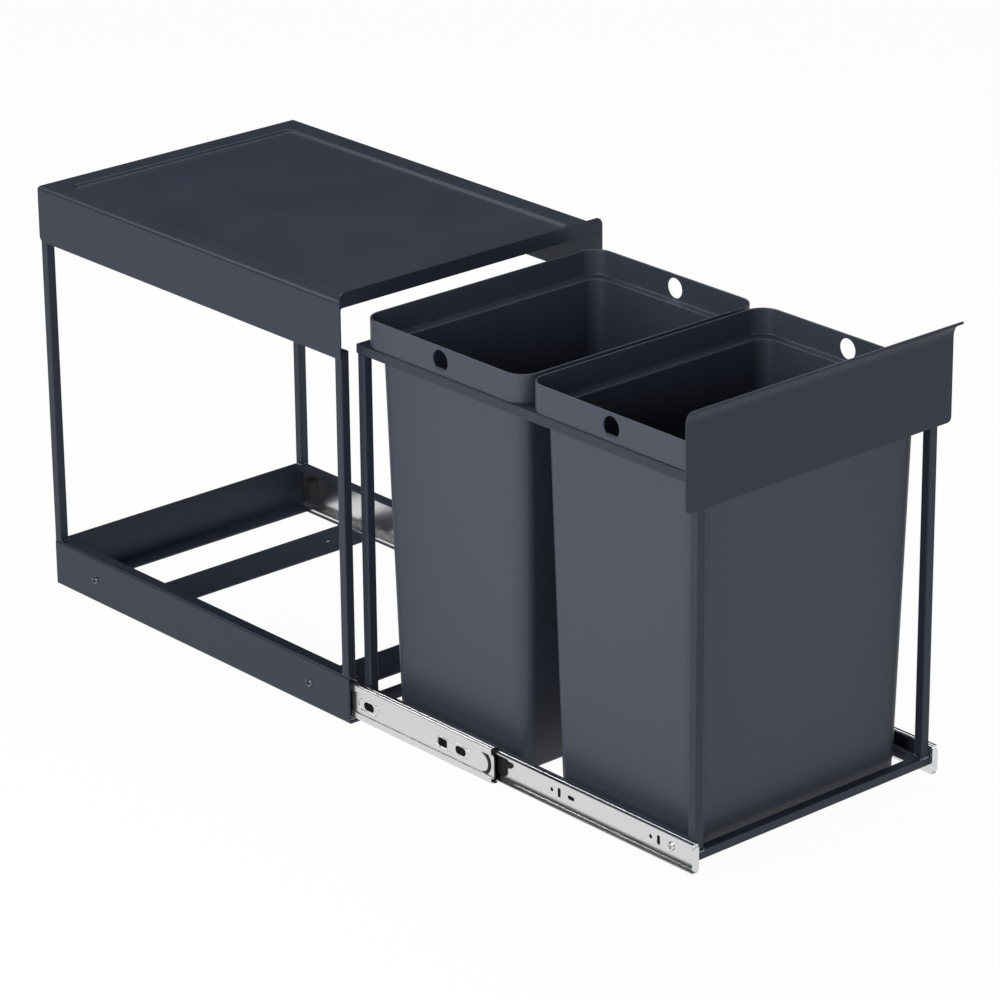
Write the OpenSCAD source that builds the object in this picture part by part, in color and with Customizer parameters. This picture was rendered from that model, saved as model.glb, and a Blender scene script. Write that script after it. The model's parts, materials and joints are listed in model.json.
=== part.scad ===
// Pull-out recycling bin unit for a floor cabinet, drawn fully open.
// A welded steel frame is screwed to the cabinet floor and carries a sheet
// cover. Two telescopic slides carry a second welded frame, which holds two
// plastic bins by their collars and a handle panel at its front.
// The origin is the centre of the four floor screws, on the underside of the
// floor bars. +X is to the right, +Y to the back and +Z up.

/* [Fixed frame] */
// Width of the fixed frame over its side rails
frame_w = 338; // [300:1:400]
// Depth of the fixed frame
frame_d = 486; // [470:1:560]
// Thickness of the rail and floor bar sheet
rail_t = 2; // [1.5:0.1:2.5]
// Width of the side rails' top and bottom flanges
rail_flange = 14; // [13:0.5:20]
// Depth of the back rail's bottom flange
back_flange = 22; // [15:1:40]
// Outer bend radius of the rails
rail_bend = 2.6; // [2.55:0.05:4]
// Height of the upright posts between the rails and the cover
post_h = 341; // [310:1:380]
// Width of the floor bars
floor_bar_w = 52; // [40:1:60]
// Distance from the front face to the front floor bar's centre
front_bar_setback = 88; // [60:1:120]
// Distance from the back face to the rear floor bar's centre
rear_bar_setback = 106; // [80:1:130]
// Distance between the floor screws across the frame
floor_hole_span = 232; // [180:1:260]
// Radius of the floor screw holes
floor_hole_r = 2.75; // [2:0.05:4]

/* [Cover] */
// Thickness of the cover sheet
cover_t = 1.5; // [1:0.1:2]
// Height of the front lip's top above the posts
cover_rise = 61; // [50:1:80]
// Height that the front lip stands above the cover's plate
lip_rise = 8.5; // [6:0.5:9]
// Height that the skirts reach down over the posts
skirt_lap = 6.5; // [4:0.5:20]
// Outer radius of the cover's side folds
cover_fold = 4; // [2:0.5:6]
// Height of the cover's front lip
lip_h = 15.5; // [15:0.5:20]
// Outer radius of the front lip's upper corners
lip_corner = 8; // [4:0.5:12]
// Distance that the lip stands in front of the frame
lip_over = 1; // [0.5:0.1:3]
// Width of the margin at the sides of the pressed tray
tray_side = 24; // [16:0.5:40]
// Width of the margin in front of the pressed tray
tray_front = 20; // [12:0.5:30]
// Width of the margin behind the pressed tray
tray_back = 22; // [20:1:60]
// Depth of the pressed tray
tray_depth = 3; // [1:0.1:3.5]
// Width of the tray's sloping edge
tray_slope = 2.5; // [2:0.5:5]
// Corner radius of the tray
tray_r = 8; // [7:0.5:16]

/* [Slides] */
// Height of a slide's outer member
slide_h = 45.5; // [45.5:0.5:50]
// Thickness of a closed slide
slide_t = 12.7; // [12.7:0.1:13.5]
// Sheet thickness of the slide members
gauge = 1.2; // [1:0.05:1.3]
// Gap in which the balls run
race_gap = 2.75; // [2.6:0.05:3]
// Diameter of the balls
ball_d = 3.5; // [3.2:0.05:3.6]
// Distance that the drawer travels
travel = 475; // [400:1:475]
// Thickness of the ball cages
cage_t = 0.5; // [0.4:0.05:0.6]
// Length of a ball cage
cage_l = 150; // [100:1:150]
// Number of balls in each row
balls = 9; // [5:1:12]

/* [Drawer frame] */
// Side of the square tubes and posts
tube = 10; // [9:0.5:12]
// Wall of the square tubes
tube_wall = 1; // [0.8:0.1:2]
// Outer radius of the square tubes' edges
tube_r = 1.2; // [0.4:0.1:1.6]
// Height of the bottom frame's underside above the floor
bottom_z = 19; // [12:0.5:20]
// Height between the bottom frame and the top ring
upright_h = 360; // [340:1:370]
// Space behind the closed drawer frame
rear_room = 18; // [12:1:30]

/* [Handle panel] */
// Thickness of the panel sheet
panel_t = 1.5; // [1:0.1:2]
// Distance between the closed panel and the cover's lip
panel_gap = 3.5; // [2:0.1:6]
// Height of the panel's lower edge below the ring's top
panel_drop = 31; // [20:1:60]
// Height of the panel's flat face
panel_flat = 85; // [60:1:100]
// Outer radius of the panel's fold
panel_fold = 18; // [12:0.5:24]
// Angle of the panel's fold
panel_angle = 85; // [60:1:90]
// Radius of the panel's corners
panel_corner = 5; // [3:0.5:10]

/* [Bins] */
// Wall of the bins
bin_wall = 2; // [1.5:0.1:3]
// Height of the bins' collars
collar_h = 29; // [26:0.5:32]
// Gap between the two collars
collar_gap = 6; // [4:0.5:10]
// Distance from the drawer frame's back to the rear collar
collar_setback = 4.5; // [3.5:0.5:6]
// Corner radius of the collars
collar_r = 21; // [14:0.5:28]
// Width that a collar stands out over the body, front and back
shoulder = 11.5; // [11:0.5:16]
// Corner radius of a bin's body
body_r = 17; // [13:0.5:24]
// Draft angle of a bin's sides
draft = 1.2; // [0.5:0.1:2]
// Height of the bins' bottoms above the floor
bin_floor_z = 13; // [10:0.5:30]
// Radius of the bins' bottom edges
foot_r = 5; // [3.5:0.5:12]
// Radius of the finger holes
finger_r = 10.5; // [8:0.5:11]

/* [Hidden] */

// Smoothness of true round shapes, of hull children and of small rounds
$fn = 96;
hull_fn = 32;
small_fn = 32;

// Overrun of every cut past the face it opens
over = 1;
// Thickness of the plates that end a loft
hull_skin = 0.05;
// Gap between a slide's outer member and the rail's flanges
seat_gap = 0.25;
// Running clearance of the balls in their races and cages
ball_fit = 0.05;
// Gap on each side of a ball cage's web
cage_gap = 0.25;
// Clearance of plastic slide pieces from members that pass them
pass_gap = 0.3;
// Gap between a bin's body and the ring's side bars
bin_gap = 0.8;
// Distance from the ring's side faces to a collar
collar_inset = 1.5;

// Colours
anthracite = "#39404a";
plastic = "#343a44";
zinc = "#cdd0d2";
black = "#1a1b1e";
bright = "#d9dadb";

// Fixed frame
rail_h = slide_h + 2 * rail_t + 2 * seat_gap;
half_w = frame_w / 2;
floor_pitch = frame_d - front_bar_setback - rear_bar_setback;
front_y = -floor_pitch / 2 - front_bar_setback;
back_y = front_y + frame_d;
post_top = rail_h + post_h;
cover_top = post_top + cover_rise;
plate_top = cover_top - lip_rise;
cover_half = half_w + cover_t;
skirt_z = post_top - skirt_lap;
lip_y = front_y - lip_over;
lip_inner_r = 2.5;
skirt_back_corner = 6;
skirt_front_corner = 2;

// Slides: u runs from the rail's web towards the drawer
slide_x = half_w - rail_t;
slide_z = rail_h / 2;
slide_front_setback = 2;
slide_back_setback = 4;
slide_y0 = front_y + slide_front_setback;
slide_y1 = back_y - slide_back_setback;
member_bend = 1.8;
outer_depth = 11;
outer_lip = 2.6;
middle_h = slide_h - 2 * (gauge + race_gap);
inner_h = middle_h - 2 * (gauge + race_gap);
web_gap = cage_t + 2 * cage_gap;
middle_u = gauge + web_gap;
web_set = 1;
middle_web_u = middle_u + web_set;
band_h = 7.5;
inner_flange_u = middle_web_u + gauge + web_gap;
middle_depth = 11;
outer_race_u = 5.2;
inner_race_u = 9;
outer_race_v = middle_h / 2 + race_gap / 2;
inner_race_v = inner_h / 2 + race_gap / 2;
middle_ratio = 0.45;
outer_cage_ratio = middle_ratio / 2;
inner_cage_ratio = (1 + middle_ratio) / 2;
middle_setback = 1;
middle_back_room = 30;
band_setback = 3;
middle_y0 = slide_y0 + middle_setback - middle_ratio * travel;
middle_y1 = slide_y1 - middle_back_room - middle_ratio * travel;
cage_edge = 1.2;
outer_cage_y0 = slide_y0 + (middle_y1 - slide_y0 - cage_l) / 2;
bumper_l = 15;
bumper_h_share = 0.48;
bumper_setback = 10;
bumper_grooves = 4;
bumper_groove_w = 1.2;
bumper_groove_d = 0.8;

// Drawer frame
drawer_half = slide_x - slide_t;
drawer_back = back_y - rear_room - travel;
drawer_front = lip_y - panel_gap - travel;
bottom_top = bottom_z + tube;
ring_z = bottom_top + upright_h;
ring_top = ring_z + tube;
ring_back_over = 2;
strip_t = 2;
strip_h = 12;

// Inner slide members
inner_back_room = 14;
tab_reach = 3.8;
tab_w = 7.5;
tab_h = 24.2;
tab_r = 3;
inner_y0 = drawer_front - tab_reach;
inner_y1 = drawer_back - inner_back_room;
inner_cage_y0 = middle_y0 + (inner_y1 - middle_y0 - cage_l) / 2;

// Holes in the slide members, measured back from each member's front end
slot_w = 8;
slot_l = 14.5;
window_l = 12.4;
window_r = 2;
middle_front_slot = 49;
middle_window = 75.5;
middle_rear_slot = 186.5;
press_w = 12;
press_d = 0.3;
front_press_at = 60;
front_press_l = 48;
rear_press_at = 186.5;
rear_press_l = 31;
round_hole_r = 1.7;
upright_slot_w = 3.4;
upright_slot_l = 9;
flat_slot_l = 8.5;
inner_screw_at = 34.6;
inner_upright_front = 51.7;
inner_round_front = 62.3;
inner_flat_slot = 171.9;
inner_upright_rear = 188.5;
inner_round_rear = 198.9;
inner_rear_screw_at = 442;

// Catch of a middle member and release lever of an inner member
catch_l = 12;
catch_pad_l = 4.5;
lever_arc_r = 13;
lever_arc_w = 3.2;
lever_arc_rise = 0.8;
lever_arc_h = 19.4;
release_t = 1.8;
release_l = 52;
release_h = 18;
release_finger_l = 8;
release_finger_h = 5;
release_finger_drop = 2.5;
release_r = 2;
release_out = 17.5;

// Screws
head_r = 3.8;
head_h = 1.8;
shank_r = 2;
recess_w = 1;
recess_l = 4.4;
recess_d = 1;
rail_screw_front = 62.5;
rail_screw_rear = 68;

// Bins
collar_half_x = drawer_half - collar_inset;
collar_front_gap = 0.5;
collar_room = drawer_back - collar_setback - drawer_front - collar_front_gap;
collar_half_y = (collar_room - collar_gap) / 4;
rear_bin_y = drawer_back - collar_setback - collar_half_y;
front_bin_y = drawer_front + collar_front_gap + collar_half_y;
body_half_x = drawer_half - tube - bin_gap;
body_half_y = collar_half_y - shoulder;
body_fall = ring_top - bin_floor_z;
body_draw = body_fall * tan(draft);
ledge_t = bin_wall;
foot_steps = 5;
finger_bevel = 0.6;
middle_bar_y = drawer_back - collar_setback - 2 * collar_half_y - collar_gap / 2;
rim_r = bin_wall / 2;

// Extrudes a shape drawn in x and z along y, from y0 to y1
module along_y(y0, y1) {
    translate([0, y1, 0])
        rotate([90, 0, 0])
            linear_extrude(y1 - y0)
                children();
}

// Extrudes a shape drawn in y and z along x, from x0 to x1
module along_x(x0, x1) {
    translate([x0, 0, 0])
        rotate([90, 0, 90])
            linear_extrude(x1 - x0)
                children();
}

// Mirrors its children to the right side when side is 1
module on_side(side) {
    mirror([side > 0 ? 1 : 0, 0, 0])
        children();
}

// Rectangle with true round corners, its corner at the origin
module soft_rect(w, h, r) {
    translate([r, 0])
        square([w - 2 * r, h]);
    translate([0, r])
        square([w, h - 2 * r]);
    for (x = [r, w - r], y = [r, h - r])
        translate([x, y])
            circle(r, $fn = small_fn);
}

// Rectangle with round corners centred on the origin, given by its half sizes
module soft_plate(hx, hy, r) {
    translate([-hx, -hy])
        soft_rect(2 * hx, 2 * hy, r);
}

// Slot with round ends, centred, w across and l long along x
module slot_2d(w, l) {
    square([l - w, w], center = true);
    for (x = [-1, 1])
        translate([x * (l - w) / 2, 0])
            circle(w / 2, $fn = small_fn);
}

// Section of the square tube
module tube_2d() {
    difference() {
        soft_plate(tube / 2, tube / 2, tube_r);
        square(tube - 2 * tube_wall, center = true);
    }
}

// Square tube along x, centred in y and z, from x0 to x1
module square_tube_x(x0, x1) {
    along_x(x0, x1)
        tube_2d();
}

// Upright square tube with its corner at x, y
module upright(x, y, z0, z1) {
    translate([x + tube / 2, y + tube / 2, z0])
        linear_extrude(z1 - z0)
            tube_2d();
}

// Mitred tube of a rectangular ring, along x, its outer edge at y = 0
module mitred_tube(half) {
    intersection() {
        translate([0, tube / 2, tube / 2])
            square_tube_x(-half, half);
        linear_extrude(tube)
            polygon([[-half, 0], [half, 0], [half - tube, tube], [tube - half, tube]]);
    }
}

// Pan head screw with a cross recess, its head on the plane x = 0 and its
// shank running along +x for l
module pan_screw(l) {
    difference() {
        union() {
            rotate([0, -90, 0])
                cylinder(h = head_h / 2, r = head_r);
            translate([-head_h / 2, 0, 0])
                rotate([0, -90, 0])
                    cylinder(h = head_h / 2, r1 = head_r, r2 = head_r - head_h / 2);
        }
        for (a = [0, 90])
            rotate([a, 0, 0])
                translate([-head_h - over, -recess_l / 2, -recess_w / 2])
                    cube([recess_d + over, recess_l, recess_w]);
    }
    rotate([0, 90, 0])
        cylinder(h = l, r = shank_r);
}

// Base rails: channels that hold the slides
module side_rail(side) {
    color(anthracite)
        on_side(side)
            difference() {
                along_y(front_y, back_y)
                    translate([-half_w, 0])
                        difference() {
                            intersection() {
                                soft_rect(rail_flange + rail_bend, rail_h, rail_bend);
                                square([rail_flange, rail_h]);
                            }
                            translate([rail_t, rail_t])
                                soft_rect(rail_flange + rail_bend, rail_h - 2 * rail_t, rail_bend - rail_t);
                        }
                translate([-half_w + rail_t, back_y - rail_t, -over])
                    cube([rail_flange, rail_t + over, rail_h + 2 * over]);
                for (y = rail_screw_places())
                    translate([-half_w - over, y, slide_z])
                        rotate([0, 90, 0])
                            cylinder(h = rail_t + 2 * over, r = shank_r);
            }
}

// Places of the screws that hold a slide in its rail
function rail_screw_places() = [front_y + rail_screw_front, back_y - rail_screw_rear];

// Back rail: an angle between the side rails' webs, notched for their flanges
module back_base_rail() {
    color(anthracite)
        difference() {
            along_x(-half_w + rail_t, half_w - rail_t)
                translate([back_y, 0])
                    mirror([1, 0])
                        intersection() {
                            difference() {
                                soft_rect(back_flange + rail_bend, rail_h + rail_bend, rail_bend);
                                translate([rail_t, rail_t])
                                    soft_rect(back_flange + rail_bend, rail_h + rail_bend,
                                        rail_bend - rail_t);
                            }
                            square([back_flange, rail_h]);
                        }
            for (side = [-1, 1])
                on_side(side)
                    translate([-half_w, back_y - back_flange - over, -over])
                        cube([rail_flange, back_flange - rail_t + over, rail_h / 2]);
        }
}

// Flat bar between the side rails' bottom flanges, with two floor screw holes
module floor_bar(y) {
    bar_half = half_w - rail_flange;
    color(anthracite)
        difference() {
            translate([-bar_half, y - floor_bar_w / 2, 0])
                cube([2 * bar_half, floor_bar_w, rail_t]);
            for (x = [-1, 1])
                translate([x * floor_hole_span / 2, y, -over])
                    cylinder(h = rail_t + 2 * over, r = floor_hole_r);
        }
}

// Upright post on a side rail, flush with its outer face and closed on top
module fixed_post(side, y) {
    color(anthracite)
        on_side(side) {
            upright(-half_w, y, rail_h, post_top - tube_wall);
            translate([-half_w + tube / 2, y + tube / 2, post_top - tube_wall])
                linear_extrude(tube_wall)
                    soft_plate(tube / 2, tube / 2, tube_r);
        }
}

// Outline of the folded sheet across the cover's width, set in by inset
module cover_2d(inset) {
    half = cover_half - inset;
    top = plate_top - inset;
    r = cover_fold - inset;
    intersection() {
        translate([-half, skirt_z - r])
            soft_rect(2 * half, top - skirt_z + r, r);
        translate([-half, skirt_z])
            square([2 * half, top - skirt_z]);
    }
}

// Front lip: it stands above and below the plate and runs down the skirts
module cover_lip() {
    lip_low = cover_top - lip_h;
    along_y(lip_y, lip_y + cover_t)
        difference() {
            intersection() {
                translate([-cover_half, skirt_z - lip_corner])
                    soft_rect(2 * cover_half, cover_top - skirt_z + lip_corner, lip_corner);
                translate([-cover_half, skirt_z])
                    square([2 * cover_half, cover_top - skirt_z]);
            }
            translate([-half_w, skirt_z - lip_corner])
                soft_rect(frame_w, lip_low - skirt_z + lip_corner, lip_inner_r);
        }
}

// Loft between two round-cornered plates of the tray: their heights, and how
// far each stands in from the tray's outline
module tray_loft(z0, in0, z1, in1) {
    tray_half = half_w - tray_side;
    y0 = lip_y + tray_front;
    y1 = back_y - tray_back;
    hull() {
        for (level = [[z0, in0], [z1, in1]])
            for (x = [-1, 1], y = [y0 + tray_r, y1 - tray_r])
                translate([x * (tray_half - tray_r), y, level[0]])
                    cylinder(h = hull_skin, r = tray_r - level[1], $fn = hull_fn);
    }
}

module top_cover() {
    plate_low = plate_top - cover_t;
    color(anthracite)
        difference() {
            union() {
                difference() {
                    along_y(lip_y, back_y)
                        cover_2d(0);
                    along_y(lip_y - over, back_y + over)
                        cover_2d(cover_t);
                    translate([-half_w, lip_y - over, skirt_z - over])
                        cube([frame_w, back_y - lip_y + 2 * over, 2 * over]);
                }
                cover_lip();
                tray_loft(plate_low - tray_depth, tray_slope - cover_t / 2, plate_low, -cover_t / 2);
            }
            tray_loft(plate_top - tray_depth, tray_slope, plate_top - hull_skin, 0);
            tray_top_cut();
            // Rounded lower corners of the skirts
            for (side = [-1, 1])
                along_x(side * half_w - cover_fold, side * half_w + cover_fold) {
                    translate([back_y, skirt_z])
                        corner_cut_2d(skirt_back_corner);
                    translate([lip_y, skirt_z])
                        mirror([1, 0])
                            corner_cut_2d(skirt_front_corner);
                }
        }
}

// Clears the skin that the loft leaves at the plate's top face
module tray_top_cut() {
    y0 = lip_y + tray_front;
    y1 = back_y - tray_back;
    translate([0, (y0 + y1) / 2, plate_top - hull_skin])
        linear_extrude(hull_skin + over)
            soft_plate(half_w - tray_side, (y1 - y0) / 2, tray_r);
}

// What a rounded corner loses: the corner is at the origin and the sheet lies
// in -x and +y from it
module corner_cut_2d(r) {
    difference() {
        translate([-r, -over])
            square([r + over, r + over]);
        translate([-r, r])
            circle(r);
    }
}

// Grooves that the balls run in, drawn in u and v like the members' outlines
module race_circles(u, v) {
    for (s = [-1, 1])
        translate([u, s * v])
            circle(ball_d / 2 + ball_fit);
}

// Section of the outer member, with a lip at each flange's edge
module slide_outer_2d() {
    mouth_h = slide_h - 2 * outer_lip;
    difference() {
        intersection() {
            translate([0, -slide_h / 2])
                soft_rect(outer_depth + member_bend, slide_h, member_bend);
            translate([0, -slide_h / 2])
                square([outer_depth, slide_h]);
        }
        translate([gauge, gauge - slide_h / 2])
            soft_rect(outer_depth - 2 * gauge, slide_h - 2 * gauge, member_bend - gauge);
        translate([outer_depth / 2, -mouth_h / 2])
            square([outer_depth, mouth_h]);
        race_circles(outer_race_u, outer_race_v);
    }
}

// Raised band of the middle member with its flange, above the web
module middle_band_2d() {
    difference() {
        translate([middle_u, middle_h / 2 - band_h])
            intersection() {
                translate([0, -member_bend])
                    soft_rect(middle_depth, band_h + member_bend, member_bend);
                square([middle_depth - middle_u, band_h]);
            }
        translate([middle_u + gauge, middle_h / 2 - gauge - band_h])
            square([middle_depth, band_h]);
    }
}

// Set back web of the middle member, with a sloping step up to each band
module middle_web_2d() {
    band_v = middle_h / 2 - band_h;
    polygon([
        [middle_u, -band_v - gauge], [middle_u, -band_v],
        [middle_web_u, web_set - band_v], [middle_web_u, band_v - web_set],
        [middle_u, band_v], [middle_u, band_v + gauge],
        [middle_u + gauge, band_v + gauge], [middle_u + gauge, band_v],
        [middle_web_u + gauge, band_v - web_set], [middle_web_u + gauge, web_set - band_v],
        [middle_u + gauge, -band_v], [middle_u + gauge, -band_v - gauge]]);
}

module slide_inner_2d() {
    difference() {
        translate([inner_flange_u, -inner_h / 2])
            intersection() {
                translate([-member_bend, 0])
                    soft_rect(slide_t - inner_flange_u + member_bend, inner_h, member_bend);
                square([slide_t - inner_flange_u, inner_h]);
            }
        translate([slide_t - gauge - slide_t, gauge - inner_h / 2])
            soft_rect(slide_t, inner_h - 2 * gauge, member_bend - gauge);
        race_circles(inner_race_u, inner_race_v);
    }
}

// Places a shape drawn in u and v in a slide
module in_slide(side, y0, y1) {
    on_side(side)
        along_y(y0, y1)
            translate([-slide_x, slide_z])
                children();
}

// Punches a flat shape, drawn in y and z, through a slide member's web
module punch(side, y) {
    on_side(side)
        translate([0, y, slide_z])
            along_x(-slide_x - over, -drawer_half + strip_t + over)
                children();
}

// Presses a flat shape into the outer face of a middle member's web
module press(side, y) {
    on_side(side)
        translate([0, y, slide_z])
            along_x(-slide_x + middle_web_u - over, -slide_x + middle_web_u + press_d)
                children();
}

module slide_outer(side) {
    color(zinc)
        difference() {
            in_slide(side, slide_y0, slide_y1)
                slide_outer_2d();
            for (y = rail_screw_places())
                punch(side, y)
                    circle(shank_r);
        }
}

// Ribbed block that stops the drawer at the back of its travel
module slide_bumper(side) {
    block_h = bumper_h_share * slide_h;
    block_y1 = slide_y1 - bumper_setback;
    color(black)
        difference() {
            in_slide(side, block_y1 - bumper_l, block_y1)
                translate([gauge, -block_h / 2])
                    square([outer_depth - gauge, block_h]);
            in_slide(side, block_y1 - bumper_l - over, block_y1 + over)
                for (i = [1 : bumper_grooves])
                    translate([outer_depth - bumper_groove_d, block_h * (i / (bumper_grooves + 1) - 1 / 2)])
                        square([2 * bumper_groove_d, bumper_groove_w]);
        }
}

module slide_middle(side) {
    color(zinc)
        difference() {
            union() {
                in_slide(side, middle_y0, middle_y1)
                    middle_web_2d();
                for (s = [0, 1])
                    in_slide(side, middle_y0 + band_setback, middle_y1)
                        mirror([0, s])
                            middle_band_2d();
            }
            in_slide(side, middle_y0 - over, middle_y1 + over) {
                race_circles(outer_race_u, outer_race_v);
                race_circles(inner_race_u, inner_race_v);
            }
            for (d = [middle_front_slot, middle_rear_slot])
                punch(side, middle_y0 + d)
                    slot_2d(slot_w, slot_l);
            punch(side, middle_y0 + middle_window)
                soft_plate(window_l / 2, slot_w / 2, window_r);
            for (place = [[front_press_at, front_press_l], [rear_press_at, rear_press_l]])
                press(side, middle_y0 + place[0])
                    slot_2d(press_w, place[1]);
            // Window of the catch
            punch(side, middle_y0)
                lever_arc_2d(pass_gap);
        }
}

// Curved lever of the catch, drawn in y and z from the member's front end
module lever_arc_2d(grow) {
    intersection() {
        translate([catch_pad_l + lever_arc_r, 0])
            difference() {
                circle(lever_arc_r + grow);
                circle(lever_arc_r - lever_arc_w - grow);
            }
        translate([0, -lever_arc_h / 2 - grow])
            square([catch_pad_l + lever_arc_r, lever_arc_h + 2 * grow]);
    }
}

// Black catch at a middle member's front end: guide pads over and under the
// inner member, a bridge between them and a curved lever in the web's window
module middle_catch(side) {
    pad_v = inner_h / 2 + pass_gap;
    bridge_u = middle_web_u + gauge;
    bridge_t = web_gap - pass_gap;
    color(black)
        union() {
            in_slide(side, middle_y0, middle_y0 + catch_l)
                for (s = [0, 1])
                    mirror([0, s])
                        translate([bridge_u, pad_v])
                            square([middle_depth - bridge_u - ball_d, middle_h / 2 - gauge - pad_v]);
            in_slide(side, middle_y0, middle_y0 + catch_l + catch_pad_l)
                translate([bridge_u, -pad_v - pass_gap])
                    square([bridge_t, 2 * (pad_v + pass_gap)]);
            on_side(side)
                translate([0, middle_y0, slide_z])
                    along_x(-slide_x + middle_web_u - lever_arc_rise, -slide_x + bridge_u + bridge_t)
                        lever_arc_2d(0);
        }
}

// Sheet cage with two flanges that hold the balls
module ball_cage(side, y0, web_u, race_u, race_v) {
    flange_end = race_u + ball_d / 2 + cage_edge;
    color(zinc)
        difference() {
            in_slide(side, y0, y0 + cage_l)
                difference() {
                    translate([web_u, -race_v - cage_t / 2])
                        square([flange_end - web_u, 2 * race_v + cage_t]);
                    translate([web_u + cage_t, cage_t / 2 - race_v])
                        square([flange_end, 2 * race_v - cage_t]);
                }
            on_side(side)
                for (y = ball_places(y0))
                    translate([race_u - slide_x, y, slide_z - race_v - ball_d])
                        cylinder(h = 2 * (race_v + ball_d), r = ball_d / 2 + ball_fit);
        }
}

// Places of the balls along a cage
function ball_places(y0) = [for (i = [0 : balls - 1]) y0 + cage_l * (i + 1) / (balls + 1)];

module ball_rows(side, y0, race_u, race_v) {
    color(bright)
        on_side(side)
            for (y = ball_places(y0), s = [-1, 1])
                translate([race_u - slide_x, y, slide_z + s * race_v])
                    sphere(ball_d / 2, $fn = small_fn);
}

module outer_cage(side) {
    ball_cage(side, outer_cage_y0, gauge + cage_gap, outer_race_u, outer_race_v);
}

module inner_cage(side) {
    ball_cage(side, inner_cage_y0, middle_web_u + gauge + cage_gap, inner_race_u, inner_race_v);
}

module slide_inner(side) {
    color(zinc) {
        difference() {
            in_slide(side, inner_y0, inner_y1)
                slide_inner_2d();
            for (d = [inner_round_front, inner_round_rear])
                punch(side, inner_y0 + d)
                    circle(round_hole_r);
            for (d = [inner_upright_front, inner_upright_rear])
                punch(side, inner_y0 + d)
                    rotate(90)
                        slot_2d(upright_slot_w, upright_slot_l);
            punch(side, inner_y0 + inner_flat_slot)
                slot_2d(upright_slot_w, flat_slot_l);
            for (d = [inner_screw_at, inner_rear_screw_at])
                punch(side, inner_y0 + d)
                    circle(shank_r);
        }
        // Bent tab that closes the member's front end
        on_side(side)
            along_y(inner_y0 - gauge, inner_y0)
                translate([-drawer_half - tab_w, slide_z - tab_h / 2])
                    intersection() {
                        soft_rect(tab_w + tab_r, tab_h, tab_r);
                        square([tab_w, tab_h]);
                    }
    }
}

// Black lever in an inner member that releases it from the middle member
module release_lever(side) {
    y0 = middle_y0 - release_out;
    color(black)
        on_side(side)
            translate([0, y0, slide_z])
                along_x(-drawer_half - gauge - release_t, -drawer_half - gauge) {
                    translate([release_finger_l, -release_h / 2])
                        soft_rect(release_l - release_finger_l, release_h, release_r);
                    translate([0, release_h / 2 - release_finger_h - release_finger_drop])
                        soft_rect(release_finger_l + release_finger_h, release_finger_h, release_r);
                }
}

module rail_screws() {
    color(black)
        for (side = [-1, 1], y = rail_screw_places())
            on_side(side)
                translate([-half_w, y, slide_z])
                    pan_screw(rail_t + gauge);
}

module slide_screws() {
    color(bright)
        for (side = [-1, 1], d = [inner_screw_at, inner_rear_screw_at])
            on_side(side)
                translate([-drawer_half - gauge, inner_y0 + d, slide_z])
                    pan_screw(gauge + tube_wall);
}

// Post of the drawer frame
module drawer_post(side, y) {
    color(anthracite)
        on_side(side)
            upright(-drawer_half, y, bottom_top, ring_z);
}

// Side bar of a ring from y0 to y1, mitred at both ends
module ring_side_bar(side, y0, y1, z) {
    color(anthracite)
        on_side(side)
            translate([-drawer_half, (y0 + y1) / 2, z])
                rotate([0, 0, -90])
                    mitred_tube((y1 - y0) / 2);
}

// Cross bar of a ring with its outer edge at y, turned to face out
module ring_cross_bar(y, z, turn) {
    color(anthracite)
        translate([0, y, z])
            rotate([0, 0, turn])
                mitred_tube(drawer_half);
}

// Side bar of the bottom frame, with the holes of the slide screws
module bottom_side_bar(side) {
    difference() {
        ring_side_bar(side, drawer_front, drawer_back, bottom_z);
        for (d = [inner_screw_at, inner_rear_screw_at])
            on_side(side)
                translate([-drawer_half - over, inner_y0 + d, slide_z])
                    rotate([0, 90, 0])
                        cylinder(h = tube_wall + 2 * over, r = shank_r);
    }
}

module ring_middle_bar() {
    color(anthracite)
        translate([0, middle_bar_y, ring_z + tube / 2])
            square_tube_x(-drawer_half + tube, drawer_half - tube);
}

// Upright strip on a bottom side bar, to which the inner member is screwed
module slide_strip(side) {
    color(anthracite)
        on_side(side)
            translate([-drawer_half, drawer_front + tube, bottom_top])
                cube([strip_t, drawer_back - drawer_front - 2 * tube, strip_h]);
}

// Outline of the panel's sheet in y and z: flat face and forward fold
module panel_2d() {
    low = ring_top - panel_drop;
    fold_z = low + panel_flat;
    translate([drawer_front - panel_t, low])
        square([panel_t, panel_flat]);
    translate([drawer_front - panel_fold, fold_z])
        intersection() {
            difference() {
                circle(panel_fold);
                circle(panel_fold - panel_t);
            }
            polygon([
                [0, 0],
                [2 * panel_fold, 0],
                [2 * panel_fold, 2 * panel_fold],
                [2 * panel_fold * cos(panel_angle), 2 * panel_fold * sin(panel_angle)]]);
        }
}

module front_panel() {
    low = ring_top - panel_drop;
    tip_y = drawer_front - panel_fold * (1 - cos(panel_angle));
    color(anthracite)
        difference() {
            along_x(-cover_half, cover_half)
                panel_2d();
            for (side = [0, 1])
                mirror([side, 0, 0]) {
                    along_y(drawer_front - panel_t - over, drawer_front + over)
                        translate([cover_half, low])
                            corner_cut_2d(panel_corner);
                    translate([cover_half, tip_y, low + panel_flat])
                        linear_extrude(2 * panel_fold)
                            corner_cut_2d(panel_corner);
                }
        }
}

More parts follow.
